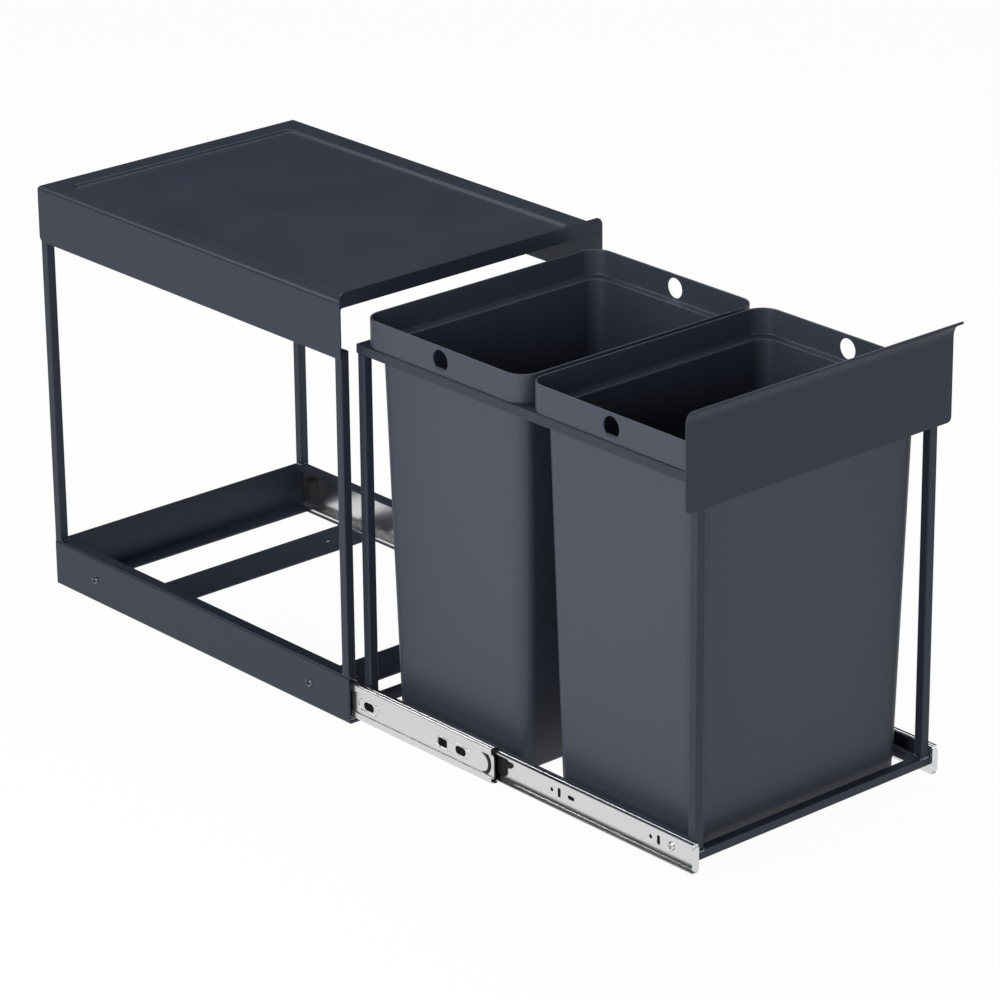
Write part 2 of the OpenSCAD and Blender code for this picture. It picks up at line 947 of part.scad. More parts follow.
// Body of a bin: a drafted round-cornered loft with a rounded bottom edge.
// The inside is the same loft, set in by the wall.
module bin_body(inset, top) {
    r = body_r - inset;
    edge_r = foot_r - inset;
    grow = (top - ring_top) * tan(draft);
    top_x = body_half_x - body_r + grow;
    top_y = body_half_y - body_r + grow;
    low_x = body_half_x - body_r - body_draw;
    low_y = body_half_y - body_r - body_draw;
    hull() {
        for (x = [-1, 1], y = [-1, 1]) {
            translate([x * top_x, y * top_y, top - hull_skin])
                cylinder(h = hull_skin, r = r, $fn = hull_fn);
            for (i = [0 : foot_steps]) {
                a = 90 * i / foot_steps;
                translate([x * low_x, y * low_y, bin_floor_z + foot_r - edge_r * cos(a)])
                    cylinder(h = hull_skin, r = r - edge_r + edge_r * sin(a), $fn = hull_fn);
            }
        }
    }
}

// Ring that rounds a rim: half round bead on top of the collar's wall
module rim_bead() {
    cx = collar_half_x - collar_r;
    cy = collar_half_y - collar_r;
    path_r = collar_r - rim_r;
    z = ring_top + collar_h - rim_r;
    for (s = [-1, 1]) {
        translate([0, s * (collar_half_y - rim_r), z])
            rotate([0, 90, 0])
                cylinder(h = 2 * cx, r = rim_r, center = true, $fn = small_fn);
        translate([s * (collar_half_x - rim_r), 0, z])
            rotate([90, 0, 0])
                cylinder(h = 2 * cy, r = rim_r, center = true, $fn = small_fn);
    }
    for (x = [-1, 1], y = [-1, 1])
        translate([x * cx, y * cy, z])
            rotate([0, 0, x > 0 ? (y > 0 ? 0 : -90) : (y > 0 ? 90 : 180)])
                rotate_extrude(angle = 90)
                    translate([path_r, 0])
                        circle(rim_r, $fn = small_fn);
}

module bin(y) {
    hole_z = ring_top + collar_h / 2;
    color(plastic)
        translate([0, y, 0])
            difference() {
                union() {
                    translate([0, 0, ring_top])
                        linear_extrude(collar_h - rim_r)
                            soft_plate(collar_half_x, collar_half_y, collar_r);
                    rim_bead();
                    bin_body(0, ring_top + ledge_t / 2);
                }
                translate([0, 0, ring_top + ledge_t])
                    linear_extrude(collar_h)
                        soft_plate(collar_half_x - bin_wall, collar_half_y - bin_wall, collar_r - bin_wall);
                bin_body(bin_wall, ring_top + ledge_t + over);
                for (side = [0, 1])
                    mirror([side, 0, 0])
                        finger_hole(hole_z);
            }
}

// Finger hole through a collar's side wall, with its edges bevelled
module finger_hole(z) {
    wall_x = collar_half_x - bin_wall;
    translate([wall_x - over, 0, z])
        rotate([0, 90, 0])
            cylinder(h = bin_wall + 2 * over, r = finger_r);
    translate([collar_half_x - finger_bevel, 0, z])
        rotate([0, 90, 0])
            cylinder(h = 2 * finger_bevel, r1 = finger_r, r2 = finger_r + 2 * finger_bevel);
}

module left_base_rail() { side_rail(-1); }
module right_base_rail() { side_rail(1); }
module front_floor_bar() { floor_bar(-floor_pitch / 2); }
module rear_floor_bar() { floor_bar(floor_pitch / 2); }
module front_left_post() { fixed_post(-1, front_y); }
module front_right_post() { fixed_post(1, front_y); }
module rear_left_post() { fixed_post(-1, back_y - tube); }
module rear_right_post() { fixed_post(1, back_y - tube); }

module drawer_front_left_post() { drawer_post(-1, drawer_front); }
module drawer_front_right_post() { drawer_post(1, drawer_front); }
module drawer_rear_left_post() { drawer_post(-1, drawer_back - tube); }
module drawer_rear_right_post() { drawer_post(1, drawer_back - tube); }
module ring_left_bar() { ring_side_bar(-1, drawer_front, drawer_back + ring_back_over, ring_z); }
module ring_right_bar() { ring_side_bar(1, drawer_front, drawer_back + ring_back_over, ring_z); }
module ring_front_bar() { ring_cross_bar(drawer_front, ring_z, 0); }
module ring_rear_bar() { ring_cross_bar(drawer_back + ring_back_over, ring_z, 180); }
module bottom_left_bar() { bottom_side_bar(-1); }
module bottom_right_bar() { bottom_side_bar(1); }
module bottom_front_bar() { ring_cross_bar(drawer_front, bottom_z, 0); }
module bottom_rear_bar() { ring_cross_bar(drawer_back, bottom_z, 180); }

left_base_rail();
right_base_rail();
back_base_rail();
front_floor_bar();
rear_floor_bar();
front_left_post();
front_right_post();
rear_left_post();
rear_right_post();
top_cover();
rail_screws();
slide_outer(-1);  // left_slide_outer
slide_outer(1);  // right_slide_outer
slide_bumper(-1);  // left_slide_bumper
slide_bumper(1);  // right_slide_bumper
outer_cage(-1);  // left_outer_ball_cage
outer_cage(1);  // right_outer_ball_cage
ball_rows(-1, outer_cage_y0, outer_race_u, outer_race_v);  // left_outer_balls
ball_rows(1, outer_cage_y0, outer_race_u, outer_race_v);  // right_outer_balls
slide_middle(-1);  // left_slide_middle
slide_middle(1);  // right_slide_middle
middle_catch(-1);  // left_middle_catch
middle_catch(1);  // right_middle_catch
inner_cage(-1);  // left_inner_ball_cage
inner_cage(1);  // right_inner_ball_cage
ball_rows(-1, inner_cage_y0, inner_race_u, inner_race_v);  // left_inner_balls
ball_rows(1, inner_cage_y0, inner_race_u, inner_race_v);  // right_inner_balls
slide_inner(-1);  // left_slide_inner
slide_inner(1);  // right_slide_inner
release_lever(-1);  // left_release_lever
release_lever(1);  // right_release_lever
slide_screws();
drawer_front_left_post();
drawer_front_right_post();
drawer_rear_left_post();
drawer_rear_right_post();
ring_left_bar();
ring_right_bar();
ring_front_bar();
ring_rear_bar();
ring_middle_bar();
bottom_left_bar();
bottom_right_bar();
bottom_front_bar();
bottom_rear_bar();
slide_strip(-1);  // left_slide_strip
slide_strip(1);  // right_slide_strip
front_panel();
bin(rear_bin_y);  // rear_bin
bin(front_bin_y);  // front_bin
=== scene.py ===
# %% [markdown]
# Built-in recycling bin, drawn open.
#
# A bin unit like this one stands in a floor cabinet: a welded steel frame with
# a sheet cover stays in the cabinet, and a second frame rolls out of it on two
# telescopic slides and carries two plastic bins. Every solid of it is already
# modelled to size, so this lesson is about looks: soft edges that catch the
# light, finishes that read as powder coat, moulded plastic and zinc, a camera
# that stands where the photographer stood, and plain studio light.

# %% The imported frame
import json
import math

import bmesh
import bpy
from mathutils import Matrix, Vector


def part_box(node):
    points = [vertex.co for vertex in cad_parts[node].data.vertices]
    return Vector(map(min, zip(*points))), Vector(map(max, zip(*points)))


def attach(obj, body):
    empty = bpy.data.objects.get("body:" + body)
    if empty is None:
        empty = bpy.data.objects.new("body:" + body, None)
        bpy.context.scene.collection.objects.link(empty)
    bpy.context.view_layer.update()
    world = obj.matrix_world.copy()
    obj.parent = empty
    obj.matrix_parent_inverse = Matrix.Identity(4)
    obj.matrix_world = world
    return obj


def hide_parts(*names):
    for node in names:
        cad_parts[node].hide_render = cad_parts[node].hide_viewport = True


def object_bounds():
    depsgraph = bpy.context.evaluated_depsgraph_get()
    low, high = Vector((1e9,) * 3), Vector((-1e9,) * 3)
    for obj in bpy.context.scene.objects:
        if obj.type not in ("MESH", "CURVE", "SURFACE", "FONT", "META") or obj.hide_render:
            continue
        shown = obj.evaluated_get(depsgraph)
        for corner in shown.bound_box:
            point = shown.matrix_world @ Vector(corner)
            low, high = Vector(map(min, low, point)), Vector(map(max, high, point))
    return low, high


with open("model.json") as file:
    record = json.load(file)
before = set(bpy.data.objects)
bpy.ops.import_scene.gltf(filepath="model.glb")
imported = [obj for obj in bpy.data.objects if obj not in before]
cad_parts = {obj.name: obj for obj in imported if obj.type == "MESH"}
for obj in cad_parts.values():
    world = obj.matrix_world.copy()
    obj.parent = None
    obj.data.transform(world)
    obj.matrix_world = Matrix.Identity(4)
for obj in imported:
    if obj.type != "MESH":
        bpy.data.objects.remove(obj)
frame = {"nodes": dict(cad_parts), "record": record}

MM = 0.001
CAD_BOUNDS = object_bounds()
slot_of = {row["node"]: row["material_slot"] for row in frame["record"]["subparts"]}
body_of = {node: body
           for body, nodes in frame["record"]["behaviour"]["bodies"].items()
           for node in nodes}

# %% [markdown]
# The camera comes first, because every later choice is judged through it. The
# photograph was taken from the front left and a little above with a long lens,
# so the uprights stay nearly parallel. Its place is given the way a
# photographer would say it: where it looks, from which side, how high, how far
# and with which focal length. The small roll and the two offsets are what is
# left of a hand-held framing.

# %% Camera
AIM = Vector((0, -284, 180)) * MM
AZIMUTH = math.radians(-41.22)
ELEVATION = math.radians(21.93)
ROLL = math.radians(-0.54)
DISTANCE = 4550.2 * MM
OFFSET_RIGHT = -9.01 * MM
OFFSET_UP = 26.29 * MM
SENSOR_WIDTH = 36
FOCAL_LENGTH = 165.44


def make_camera():
    """A camera on a tripod: its axes follow from azimuth and elevation, then it rolls."""
    back = Vector((math.sin(AZIMUTH) * math.cos(ELEVATION),
                   -math.cos(AZIMUTH) * math.cos(ELEVATION),
                   math.sin(ELEVATION)))
    right = Vector((0, 0, 1)).cross(back).normalized()
    up = back.cross(right)
    place = AIM + back * DISTANCE + right * OFFSET_RIGHT + up * OFFSET_UP
    rolled_right = right * math.cos(ROLL) + up * math.sin(ROLL)
    rolled_up = up * math.cos(ROLL) - right * math.sin(ROLL)
    data = bpy.data.cameras.new("photo_camera")
    data.sensor_width = SENSOR_WIDTH
    data.lens = FOCAL_LENGTH
    data.clip_start = DISTANCE / 100
    data.clip_end = DISTANCE * 100
    camera = bpy.data.objects.new("photo_camera", data)
    axes = Matrix((rolled_right, rolled_up, back)).transposed()
    camera.matrix_world = Matrix.Translation(place) @ axes.to_4x4()
    bpy.context.scene.collection.objects.link(camera)
    bpy.context.scene.camera = camera
    return camera


camera = make_camera()
print("camera at", [round(value, 3) for value in camera.matrix_world.translation])

# %% [markdown]
# Shader graphs are easier to read as sums than as boxes and wires. A Field
# wraps one socket, and each plus or times sign adds a Math node. Paint holds one
# material and makes any other node through a single method, so a finish below
# reads like the recipe of a paint shop. A Mix node has sockets of several kinds
# under one name, so its colour sockets are picked by their places.

# %% Shader sums
MIX_LOW, MIX_HIGH, MIX_RESULT = 6, 7, 2


class Field:
    """A number socket that can be used in Python sums."""

    def __init__(self, paint, socket):
        self.paint = paint
        self.socket = socket

    def joined(self, operation, first, second):
        return self.paint.node("ShaderNodeMath", {"operation": operation}, {0: first, 1: second})

    def __add__(self, other):
        return self.joined("ADD", self, other)

    def __radd__(self, other):
        return self.joined("ADD", other, self)

    def __mul__(self, other):
        return self.joined("MULTIPLY", self, other)

    def __rmul__(self, other):
        return self.joined("MULTIPLY", other, self)


class Paint:
    """One material: a Principled shader and the nodes that feed it."""

    def __init__(self, name, **constants):
        self.material = bpy.data.materials.new(name)
        self.material.use_nodes = True
        self.tree = self.material.node_tree
        self.shader = self.tree.nodes["Principled BSDF"]
        for socket, value in constants.items():
            self.shader.inputs[socket.replace("_", " ")].default_value = value

    def node(self, kind, settings=None, inputs=None, output=0):
        """Makes a node, sets it, then fills or links its sockets."""
        made = self.tree.nodes.new(kind)
        for key, value in (settings or {}).items():
            setattr(made, key, value)
        for key, value in (inputs or {}).items():
            if isinstance(value, Field):
                self.tree.links.new(value.socket, made.inputs[key])
            else:
                made.inputs[key].default_value = value
        return Field(self, made.outputs[output])

    def place(self, stretch=(1, 1, 1)):
        """Object coordinates, stretched along each axis."""
        coordinates = self.node("ShaderNodeTexCoord", output="Object")
        return self.node("ShaderNodeVectorMath", {"operation": "MULTIPLY"},
                         {0: coordinates, 1: Vector(stretch)})

    def noise(self, place, size, detail=2.0):
        """Noise between 0 and 1 whose blotches are about size across."""
        return self.node("ShaderNodeTexNoise", {"noise_dimensions": "3D"},
                         {"Vector": place, "Scale": 1 / size, "Detail": detail})

    def blend(self, share, low, high):
        """Colour between low and high."""
        return self.node("ShaderNodeMix", {"data_type": "RGBA"},
                         {"Factor": share, MIX_LOW: (*low, 1), MIX_HIGH: (*high, 1)},
                         output=MIX_RESULT)

    def bump(self, height, depth, strength):
        """A normal that follows a height field of the given depth."""
        return self.node("ShaderNodeBump", None,
                         {"Height": height, "Distance": depth, "Strength": strength})

    def feed(self, socket, value):
        """Links a field to one of the shader's own sockets."""
        self.tree.links.new(value.socket, self.shader.inputs[socket])


def shade(colour, share):
    """The same colour, lighter or darker by a share."""
    return tuple(channel * (1 + share) for channel in colour)


# %% [markdown]
# The powder coat on every sheet and tube is a satin anthracite. Powder melts
# into a skin with a faint orange peel, so its shine breaks up at the scale of a
# millimetre, and its tone drifts a little over a hand's width. The bins are
# moulded from a plastic of nearly the same colour. Their grain is finer and
# their shine softer and broader. The powder's pigment reaches its surface, so
# it shines a little blue, while the plastic shines clear.

# %% Powder coat and moulded plastic
COAT_COLOUR = (0.0255, 0.0305, 0.048)
PLASTIC_COLOUR = (0.040, 0.0485, 0.073)
BLUE_SHINE = (0.78, 0.88, 1.0, 1)
CLEAR_SHINE = (1, 1, 1, 1)
DRIFT_SIZE = 90 * MM
MOTTLE_SIZE = 4 * MM
TONE_SWING = 0.16
ROUGHNESS_SWING = 0.06


def grained(name, colour, shine, roughness, level, peel, grain, depth):
    """A satin skin: drifting tone, orange peel and a fine grain."""
    paint = Paint(name, Specular_IOR_Level=level, Specular_Tint=shine)
    place = paint.place()
    drift = paint.noise(place, DRIFT_SIZE, 3)
    mottle = paint.noise(place, MOTTLE_SIZE, 2)
    skin = paint.noise(place, peel, 1)
    speck = paint.noise(place, grain, 1)
    tone = 0.5 * drift + 0.3 * mottle + 0.2 * speck
    paint.feed("Base Color",
               paint.blend(tone, shade(colour, -TONE_SWING), shade(colour, TONE_SWING)))
    paint.feed("Roughness", (roughness - ROUGHNESS_SWING) + 2 * ROUGHNESS_SWING * drift)
    paint.feed("Normal", paint.bump(0.6 * skin + 0.4 * speck, depth, 0.35))
    return paint.material


coat = grained("anthracite_powder_coat", COAT_COLOUR, BLUE_SHINE, roughness=0.42, level=0.31,
               peel=1.4 * MM, grain=0.5 * MM, depth=0.05 * MM)
plastic = grained("moulded_bin_plastic", PLASTIC_COLOUR, CLEAR_SHINE, roughness=0.48, level=0.45,
                  peel=0.9 * MM, grain=0.35 * MM, depth=0.03 * MM)
print("made", coat.name, plastic.name)

# %% [markdown]
# The slides are rolled from zinc-plated strip. The rolls leave long faint
# lines along the run, and the plating clouds softly, so the noise is stretched
# far along the slide. The small parts in them are black plastic, rubber and
# polished balls, and the screws are blackened or bright steel.

# %% Zinc, black parts and bright steel
ZINC_COLOUR = (0.66, 0.67, 0.68)
BLACK_COLOUR = (0.010, 0.010, 0.012)
ALONG_SLIDE = (1, 0.02, 1)
ROLL_LINE_SIZE = 0.7 * MM
CLOUD_SIZE = 25 * MM
SPANGLE_SIZE = 2.5 * MM


def rolled_zinc():
    """Plated strip: lines along the run, soft clouds and fine crystals."""
    paint = Paint("rolled_zinc", Metallic=1.0)
    place = paint.place()
    along = paint.place(ALONG_SLIDE)
    lines = paint.noise(along, ROLL_LINE_SIZE, 3)
    cloud = paint.noise(place, CLOUD_SIZE, 3)
    spangle = paint.noise(place, SPANGLE_SIZE, 2)
    tone = 0.45 * cloud + 0.35 * lines + 0.2 * spangle
    paint.feed("Base Color",
               paint.blend(tone, shade(ZINC_COLOUR, -0.07), shade(ZINC_COLOUR, 0.06)))
    paint.feed("Roughness", 0.20 + 0.05 * lines + 0.05 * cloud)
    paint.feed("Normal", paint.bump(lines, 0.02 * MM, 0.12))
    return paint.material


def small_black(name, roughness, level):
    """A black part: the level says how much of the pale floor it mirrors."""
    paint = Paint(name, Specular_IOR_Level=level)
    place = paint.place()
    grain = paint.noise(place, 0.6 * MM, 2)
    drift = paint.noise(place, 8 * MM, 2)
    paint.feed("Base Color",
               paint.blend(drift, shade(BLACK_COLOUR, -0.2), shade(BLACK_COLOUR, 0.4)))
    paint.feed("Roughness", (roughness - 0.05) + 0.1 * drift)
    paint.feed("Normal", paint.bump(grain, 0.03 * MM, 0.3))
    return paint.material


def bright_steel(name, colour, roughness):
    """Bare or thinly covered steel whose polish drifts a little."""
    paint = Paint(name, Metallic=1.0)
    drift = paint.noise(paint.place(), 3 * MM, 2)
    paint.feed("Base Color", paint.blend(drift, shade(colour, -0.1), shade(colour, 0.05)))
    paint.feed("Roughness", roughness + 0.08 * drift)
    return paint.material


zinc = rolled_zinc()
FINISHES = {
    "powder_coat": coat,
    "bin_plastic": plastic,
    "zinc_steel": zinc,
    "black_plastic": small_black("black_slide_plastic", 0.5, 0.2),
    "rubber": small_black("black_rubber", 0.6, 0.5),
    "ball_steel": bright_steel("polished_ball_steel", (0.72, 0.72, 0.73), 0.12),
    "dark_screw": bright_steel("blackened_screw_steel", (0.13, 0.15, 0.19), 0.22),
}
# Black with almost no shine: painted shade for the slides' holes, where little light comes back out
painted_hole_shade = small_black("dark_inside_a_hole", 0.8, 0.02)
screw_zinc = bright_steel("bright_screw_zinc", (0.74, 0.74, 0.75), 0.14)
print("finishes", sorted(FINISHES))

# %% [markdown]
# The slides' moving members are punched with slots and screw holes, and long
# pockets are pressed round the slots. Their rows are written down once, as a
# toolmaker would measure them, from a member's front end and along its middle.
# The softened copies open these holes a little, and black plates of painted
# shade in the holes and the pockets' rims follow them further below.

# %% Punched holes of the slides
SLIDE_MIDDLE = 25 * MM
PUNCH_GROWTH = 0.35 * MM
SHEET = 1.2 * MM
MIDDLE_HOLES = [
    # distance from the front end, half length, half height, corner radius
    (49.0, 7.25, 4.0, 4.0), (75.5, 6.2, 4.0, 2.0), (186.5, 7.25, 4.0, 4.0)]
MIDDLE_POCKETS = [(60.0, 24.0, 6.0, 6.0), (186.5, 15.5, 6.0, 6.0)]
INNER_HOLES = [
    (51.7, 1.7, 4.5, 1.7), (62.3, 1.7, 1.7, 1.7), (171.9, 4.25, 1.7, 1.7),
    (188.5, 1.7, 4.5, 1.7), (198.9, 1.7, 1.7, 1.7)]


def placed(front, rows):
    """The same rows in metres, measured from a member's front end."""
    return [(front + away * MM, half_y * MM, half_z * MM, radius * MM)
            for away, half_y, half_z, radius in rows]


def punched(node):
    """A slide member's holes, the inner one's from behind its bent tab, or else none."""
    if node.endswith("slide_middle"):
        return placed(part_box(node)[0].y, MIDDLE_HOLES)
    if node.endswith("slide_inner"):
        return placed(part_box(node)[0].y + SHEET, INNER_HOLES)
    return []


print("holes", len(punched("left_slide_middle")), len(punched("left_slide_inner")))

# %% [markdown]
# No real edge is perfectly sharp: cut sheet is deburred, tube is drawn over a
# radius, and paint pulls back round every corner. A solid from the construction
# model arrives as loose triangles. So each piece is a copy whose doubled
# points are merged and whose flat facets are joined, and a small bevel then
# softens what is left sharp. Weighted normals keep the large faces flat.

# %% Softened pieces
MERGE_GAP = 0.001 * MM
FLAT_ANGLE = math.radians(0.4)
SHARP_ANGLE = math.radians(28)


def finished(obj, body, slot, replaced=(), finish=None):
    """Gives a piece its finish and its body, and hides the solids that it stands for."""
    obj.data.materials.clear()
    obj.data.materials.append(finish or FINISHES[slot])
    if replaced:
        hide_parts(*replaced)
    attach(obj, body)
    return obj


def evaluated(obj):
    """Turns an object's modifiers into a plain mesh."""
    graph = bpy.context.evaluated_depsgraph_get()
    mesh = bpy.data.meshes.new_from_object(obj.evaluated_get(graph))
    obj.modifiers.clear()
    old = obj.data
    obj.data = mesh
    mesh.name = obj.name
    bpy.data.meshes.remove(old)
    return obj


def piece_from(name, bm):
    """Makes an object of a bmesh, with smooth faces between its sharp edges."""
    mesh = bpy.data.meshes.new(name)
    bm.to_mesh(mesh)
    bm.free()
    mesh.polygons.foreach_set("use_smooth", [True] * len(mesh.polygons))
    mesh.set_sharp_from_angle(angle=SHARP_ANGLE)
    obj = bpy.data.objects.new(name, mesh)
    bpy.context.scene.collection.objects.link(obj)
    return obj


def soften(obj, width, segments=2):
    """Bevels the sharp edges and weights the normals by face area."""
    if width:
        bevel = obj.modifiers.new("soft_edges", "BEVEL")
        bevel.limit_method = "ANGLE"
        bevel.angle_limit = SHARP_ANGLE
        bevel.width = width
        bevel.segments = segments
        bevel.use_clamp_overlap = True
        bevel.miter_outer = "MITER_SHARP"
    weigh = obj.modifiers.new("flat_faces", "WEIGHTED_NORMAL")
    weigh.keep_sharp = True
    evaluated(obj)
    return obj


def merged(node):
    """A clean bmesh copy of a solid: doubles merged and flat facets joined."""
    bm = bmesh.new()
    bm.from_mesh(frame["nodes"][node].data)
    bmesh.ops.remove_doubles(bm, verts=bm.verts, dist=MERGE_GAP)
    bmesh.ops.dissolve_limit(bm, angle_limit=FLAT_ANGLE, verts=bm.verts, edges=bm.edges)
    return bm


def dressed(node, width, holes=()):
    """A softened copy that stands for one solid, its punched holes a little opened."""
    bm = merged(node)
    for y, half_y, half_z, _ in holes:
        for vert in bm.verts:
            off_y = vert.co.y - y
            off_z = vert.co.z - SLIDE_MIDDLE
            if abs(off_y) < half_y + MERGE_GAP and abs(off_z) < half_z + MERGE_GAP:
                vert.co.y += PUNCH_GROWTH * off_y / half_y
                vert.co.z += PUNCH_GROWTH * off_z / half_z
    obj = soften(piece_from(node + "_piece", bm), width)
    return finished(obj, body_of[node], slot_of[node], [node])


EDGE_OF = {"powder_coat": 0.5 * MM, "zinc_steel": 0.15 * MM, "black_plastic": 0.3 * MM,
           "rubber": 0.8 * MM, "dark_screw": 0.2 * MM, "ball_steel": 0}
BINS = ["rear_bin", "front_bin"]
BALL_ROWS = [name for name in frame["nodes"] if slot_of[name] == "ball_steel"]
SCREWS = ["rail_screws", "slide_screws"]
TOP_RING = ["ring_left_bar", "ring_right_bar", "ring_front_bar", "ring_rear_bar"]
BOTTOM_RING = ["bottom_left_bar", "bottom_right_bar", "bottom_front_bar", "bottom_rear_bar"]
OWN_FORM = BINS + BALL_ROWS + SCREWS + TOP_RING + BOTTOM_RING + ["top_cover"]
for name in frame["nodes"]:
    if name not in OWN_FORM:
        dressed(name, EDGE_OF[slot_of[name]], punched(name))
print("softened", len(frame["nodes"]) - len(OWN_FORM), "solids")

# %% [markdown]
# The tray in the cover, the bins and the welded rings share one way of
# building. Each is a stack of levels, and every level is the same outline, a
# rectangle with round corners. So three small helpers come first: one draws a
# level, one steps along a fillet, and one joins the levels with quads.

# %% Levels of a loft
CORNER_STEPS = 14
FILLET_STEPS = 6


def ring(bm, half_x, half_y, radius, z, centre):
    """One level of the loft: a round-cornered rectangle of points."""
    points = []
    for quarter, (sx, sy) in enumerate([(1, 1), (-1, 1), (-1, -1), (1, -1)]):
        for step in range(CORNER_STEPS + 1):
            angle = math.pi / 2 * (quarter + step / CORNER_STEPS)
            points.append(bm.verts.new((
                centre.x + sx * (half_x - radius) + radius * math.cos(angle),
                centre.y + sy * (half_y - radius) + radius * math.sin(angle),
                z)))
    return points


def arc(z, inset, radius, start, end):
    """Pairs of height and inset along a fillet, angles in degrees."""
    steps = range(FILLET_STEPS + 1)
    angles = [math.radians(start + (end - start) * step / FILLET_STEPS) for step in steps]
    return [(z + radius * math.sin(a), inset + radius * math.cos(a)) for a in angles]


def joined_rings(bm, rings):
    """Quads between each ring and the next."""
    for first, second in zip(rings, rings[1:]):
        count = len(first)
        for i in range(count):
            j = (i + 1) % count
            bm.faces.new((first[i], first[j], second[j], second[i]))


print("points in a level", 4 * (CORNER_STEPS + 1))

# %% [markdown]
# The cover is one bent sheet with a shallow tray pressed into it. What the eye
# reads are the two lines of light along the tray's edge, one where the sheet
# rolls over and one where it runs out on the tray's floor. The solid has these
# edges sharp, so its tray is cut out of the copy and pressed anew: levels that
# roll over, run down the slope and run out, on both faces of the sheet.

# %% Cover
LIP_RISE = 8.5 * MM
COVER_SHEET = 1.5 * MM
TRAY_DEPTH = 3 * MM
TRAY_MARGIN = 15 * MM
TRAY_SIDE = 25.5 * MM
TRAY_FRONT = 20 * MM
TRAY_BACK = 22 * MM
TRAY_CORNER = 8 * MM
TRAY_SLOPE = 2.5 * MM
TRAY_ROUND = 2 * MM
LEVEL_TOLERANCE = 0.06 * MM


def tray_profile(top):
    """Height and inset from the plate down to the tray's floor, rounded at both ends."""
    slope = math.atan2(TRAY_DEPTH, TRAY_SLOPE)
    reach = TRAY_ROUND * math.tan(slope / 2)
    turns = [slope * step / FILLET_STEPS for step in range(FILLET_STEPS + 1)]
    over = [(top - TRAY_ROUND * (1 - math.cos(turn)), TRAY_ROUND * math.sin(turn) - reach)
            for turn in turns]
    out = [(top - TRAY_DEPTH + TRAY_ROUND * (1 - math.cos(turn)),
            TRAY_SLOPE + reach - TRAY_ROUND * math.sin(turn)) for turn in reversed(turns)]
    return over + out


def cover_piece():
    """The folded sheet with its tray pressed anew, the upper face first, then the lower."""
    low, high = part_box("top_cover")
    top = high.z - LIP_RISE
    bm = merged("top_cover")
    over_tray = [vert for vert in bm.verts
                 if low.x + TRAY_MARGIN < vert.co.x < high.x - TRAY_MARGIN
                 and low.y + TRAY_MARGIN < vert.co.y < high.y - TRAY_MARGIN]
    bmesh.ops.delete(bm, geom=over_tray, context="VERTS")
    front, back = low.y + TRAY_FRONT, high.y - TRAY_BACK
    centre = Vector((0, (front + back) / 2, 0))
    for level, growth in ((top, 0), (top - COVER_SHEET, COVER_SHEET / 2)):
        rim = [edge for edge in bm.edges if edge.is_boundary
               and all(abs(vert.co.z - level) < LEVEL_TOLERANCE for vert in edge.verts)]
        levels = [ring(bm, high.x - TRAY_SIDE - inset + growth,
                       (back - front) / 2 - inset + growth,
                       TRAY_CORNER - inset + growth, z, centre)
                  for z, inset in tray_profile(level)]
        joined_rings(bm, levels)
        bm.faces.new(levels[-1])
        mouth = levels[0]
        rim += [bm.edges.get(ends) for ends in zip(mouth, mouth[1:] + mouth[:1])]
        bmesh.ops.triangle_fill(bm, edges=rim, use_beauty=True, use_dissolve=False)
    bmesh.ops.recalc_face_normals(bm, faces=bm.faces)
    open_edges = sum(1 for edge in bm.edges if not edge.is_manifold)
    obj = soften(piece_from("folded_cover", bm), EDGE_OF["powder_coat"])
    print("open edges in the cover", open_edges)
    return finished(obj, body_of["top_cover"], slot_of["top_cover"], ["top_cover"])


cover = cover_piece()
print(cover.name, len(cover.data.polygons), "faces")

# %% [markdown]
# A bin is one moulding: a collar with a ledge inside it, a drafted body with
# rounded corners and a rounded bottom edge. A mould designer would draw it as a
# loft, so it is made the same way here. A list of levels gives the half sizes
# and the corner radius at each height, from the middle of the floor inside, up
# the inner wall, over the rim and down the outside. Quads join the rings.

# %% Bins
BIN_WALL = 2 * MM
BIN_DRAFT = math.radians(1.2)
COLLAR_RADIUS = 21 * MM
BODY_RADIUS = 17 * MM
SHOULDER_SIDE = 9.3 * MM
SHOULDER_FRONT = 11.5 * MM
COLLAR_HEIGHT = 29 * MM
LEDGE_FILLET = 1.6 * MM
FINGER_RADIUS = 10.5 * MM
FINGER_BEVEL = 0.7 * MM
FINGER_STEPS = 64
FOOT_RADIUS = 5 * MM
STEP_HEIGHT = 15 * MM
STEP_DEPTH = 0.5 * MM
# The smallest corner radius of a level, and the least step between two levels
GUARD = 0.6 * MM


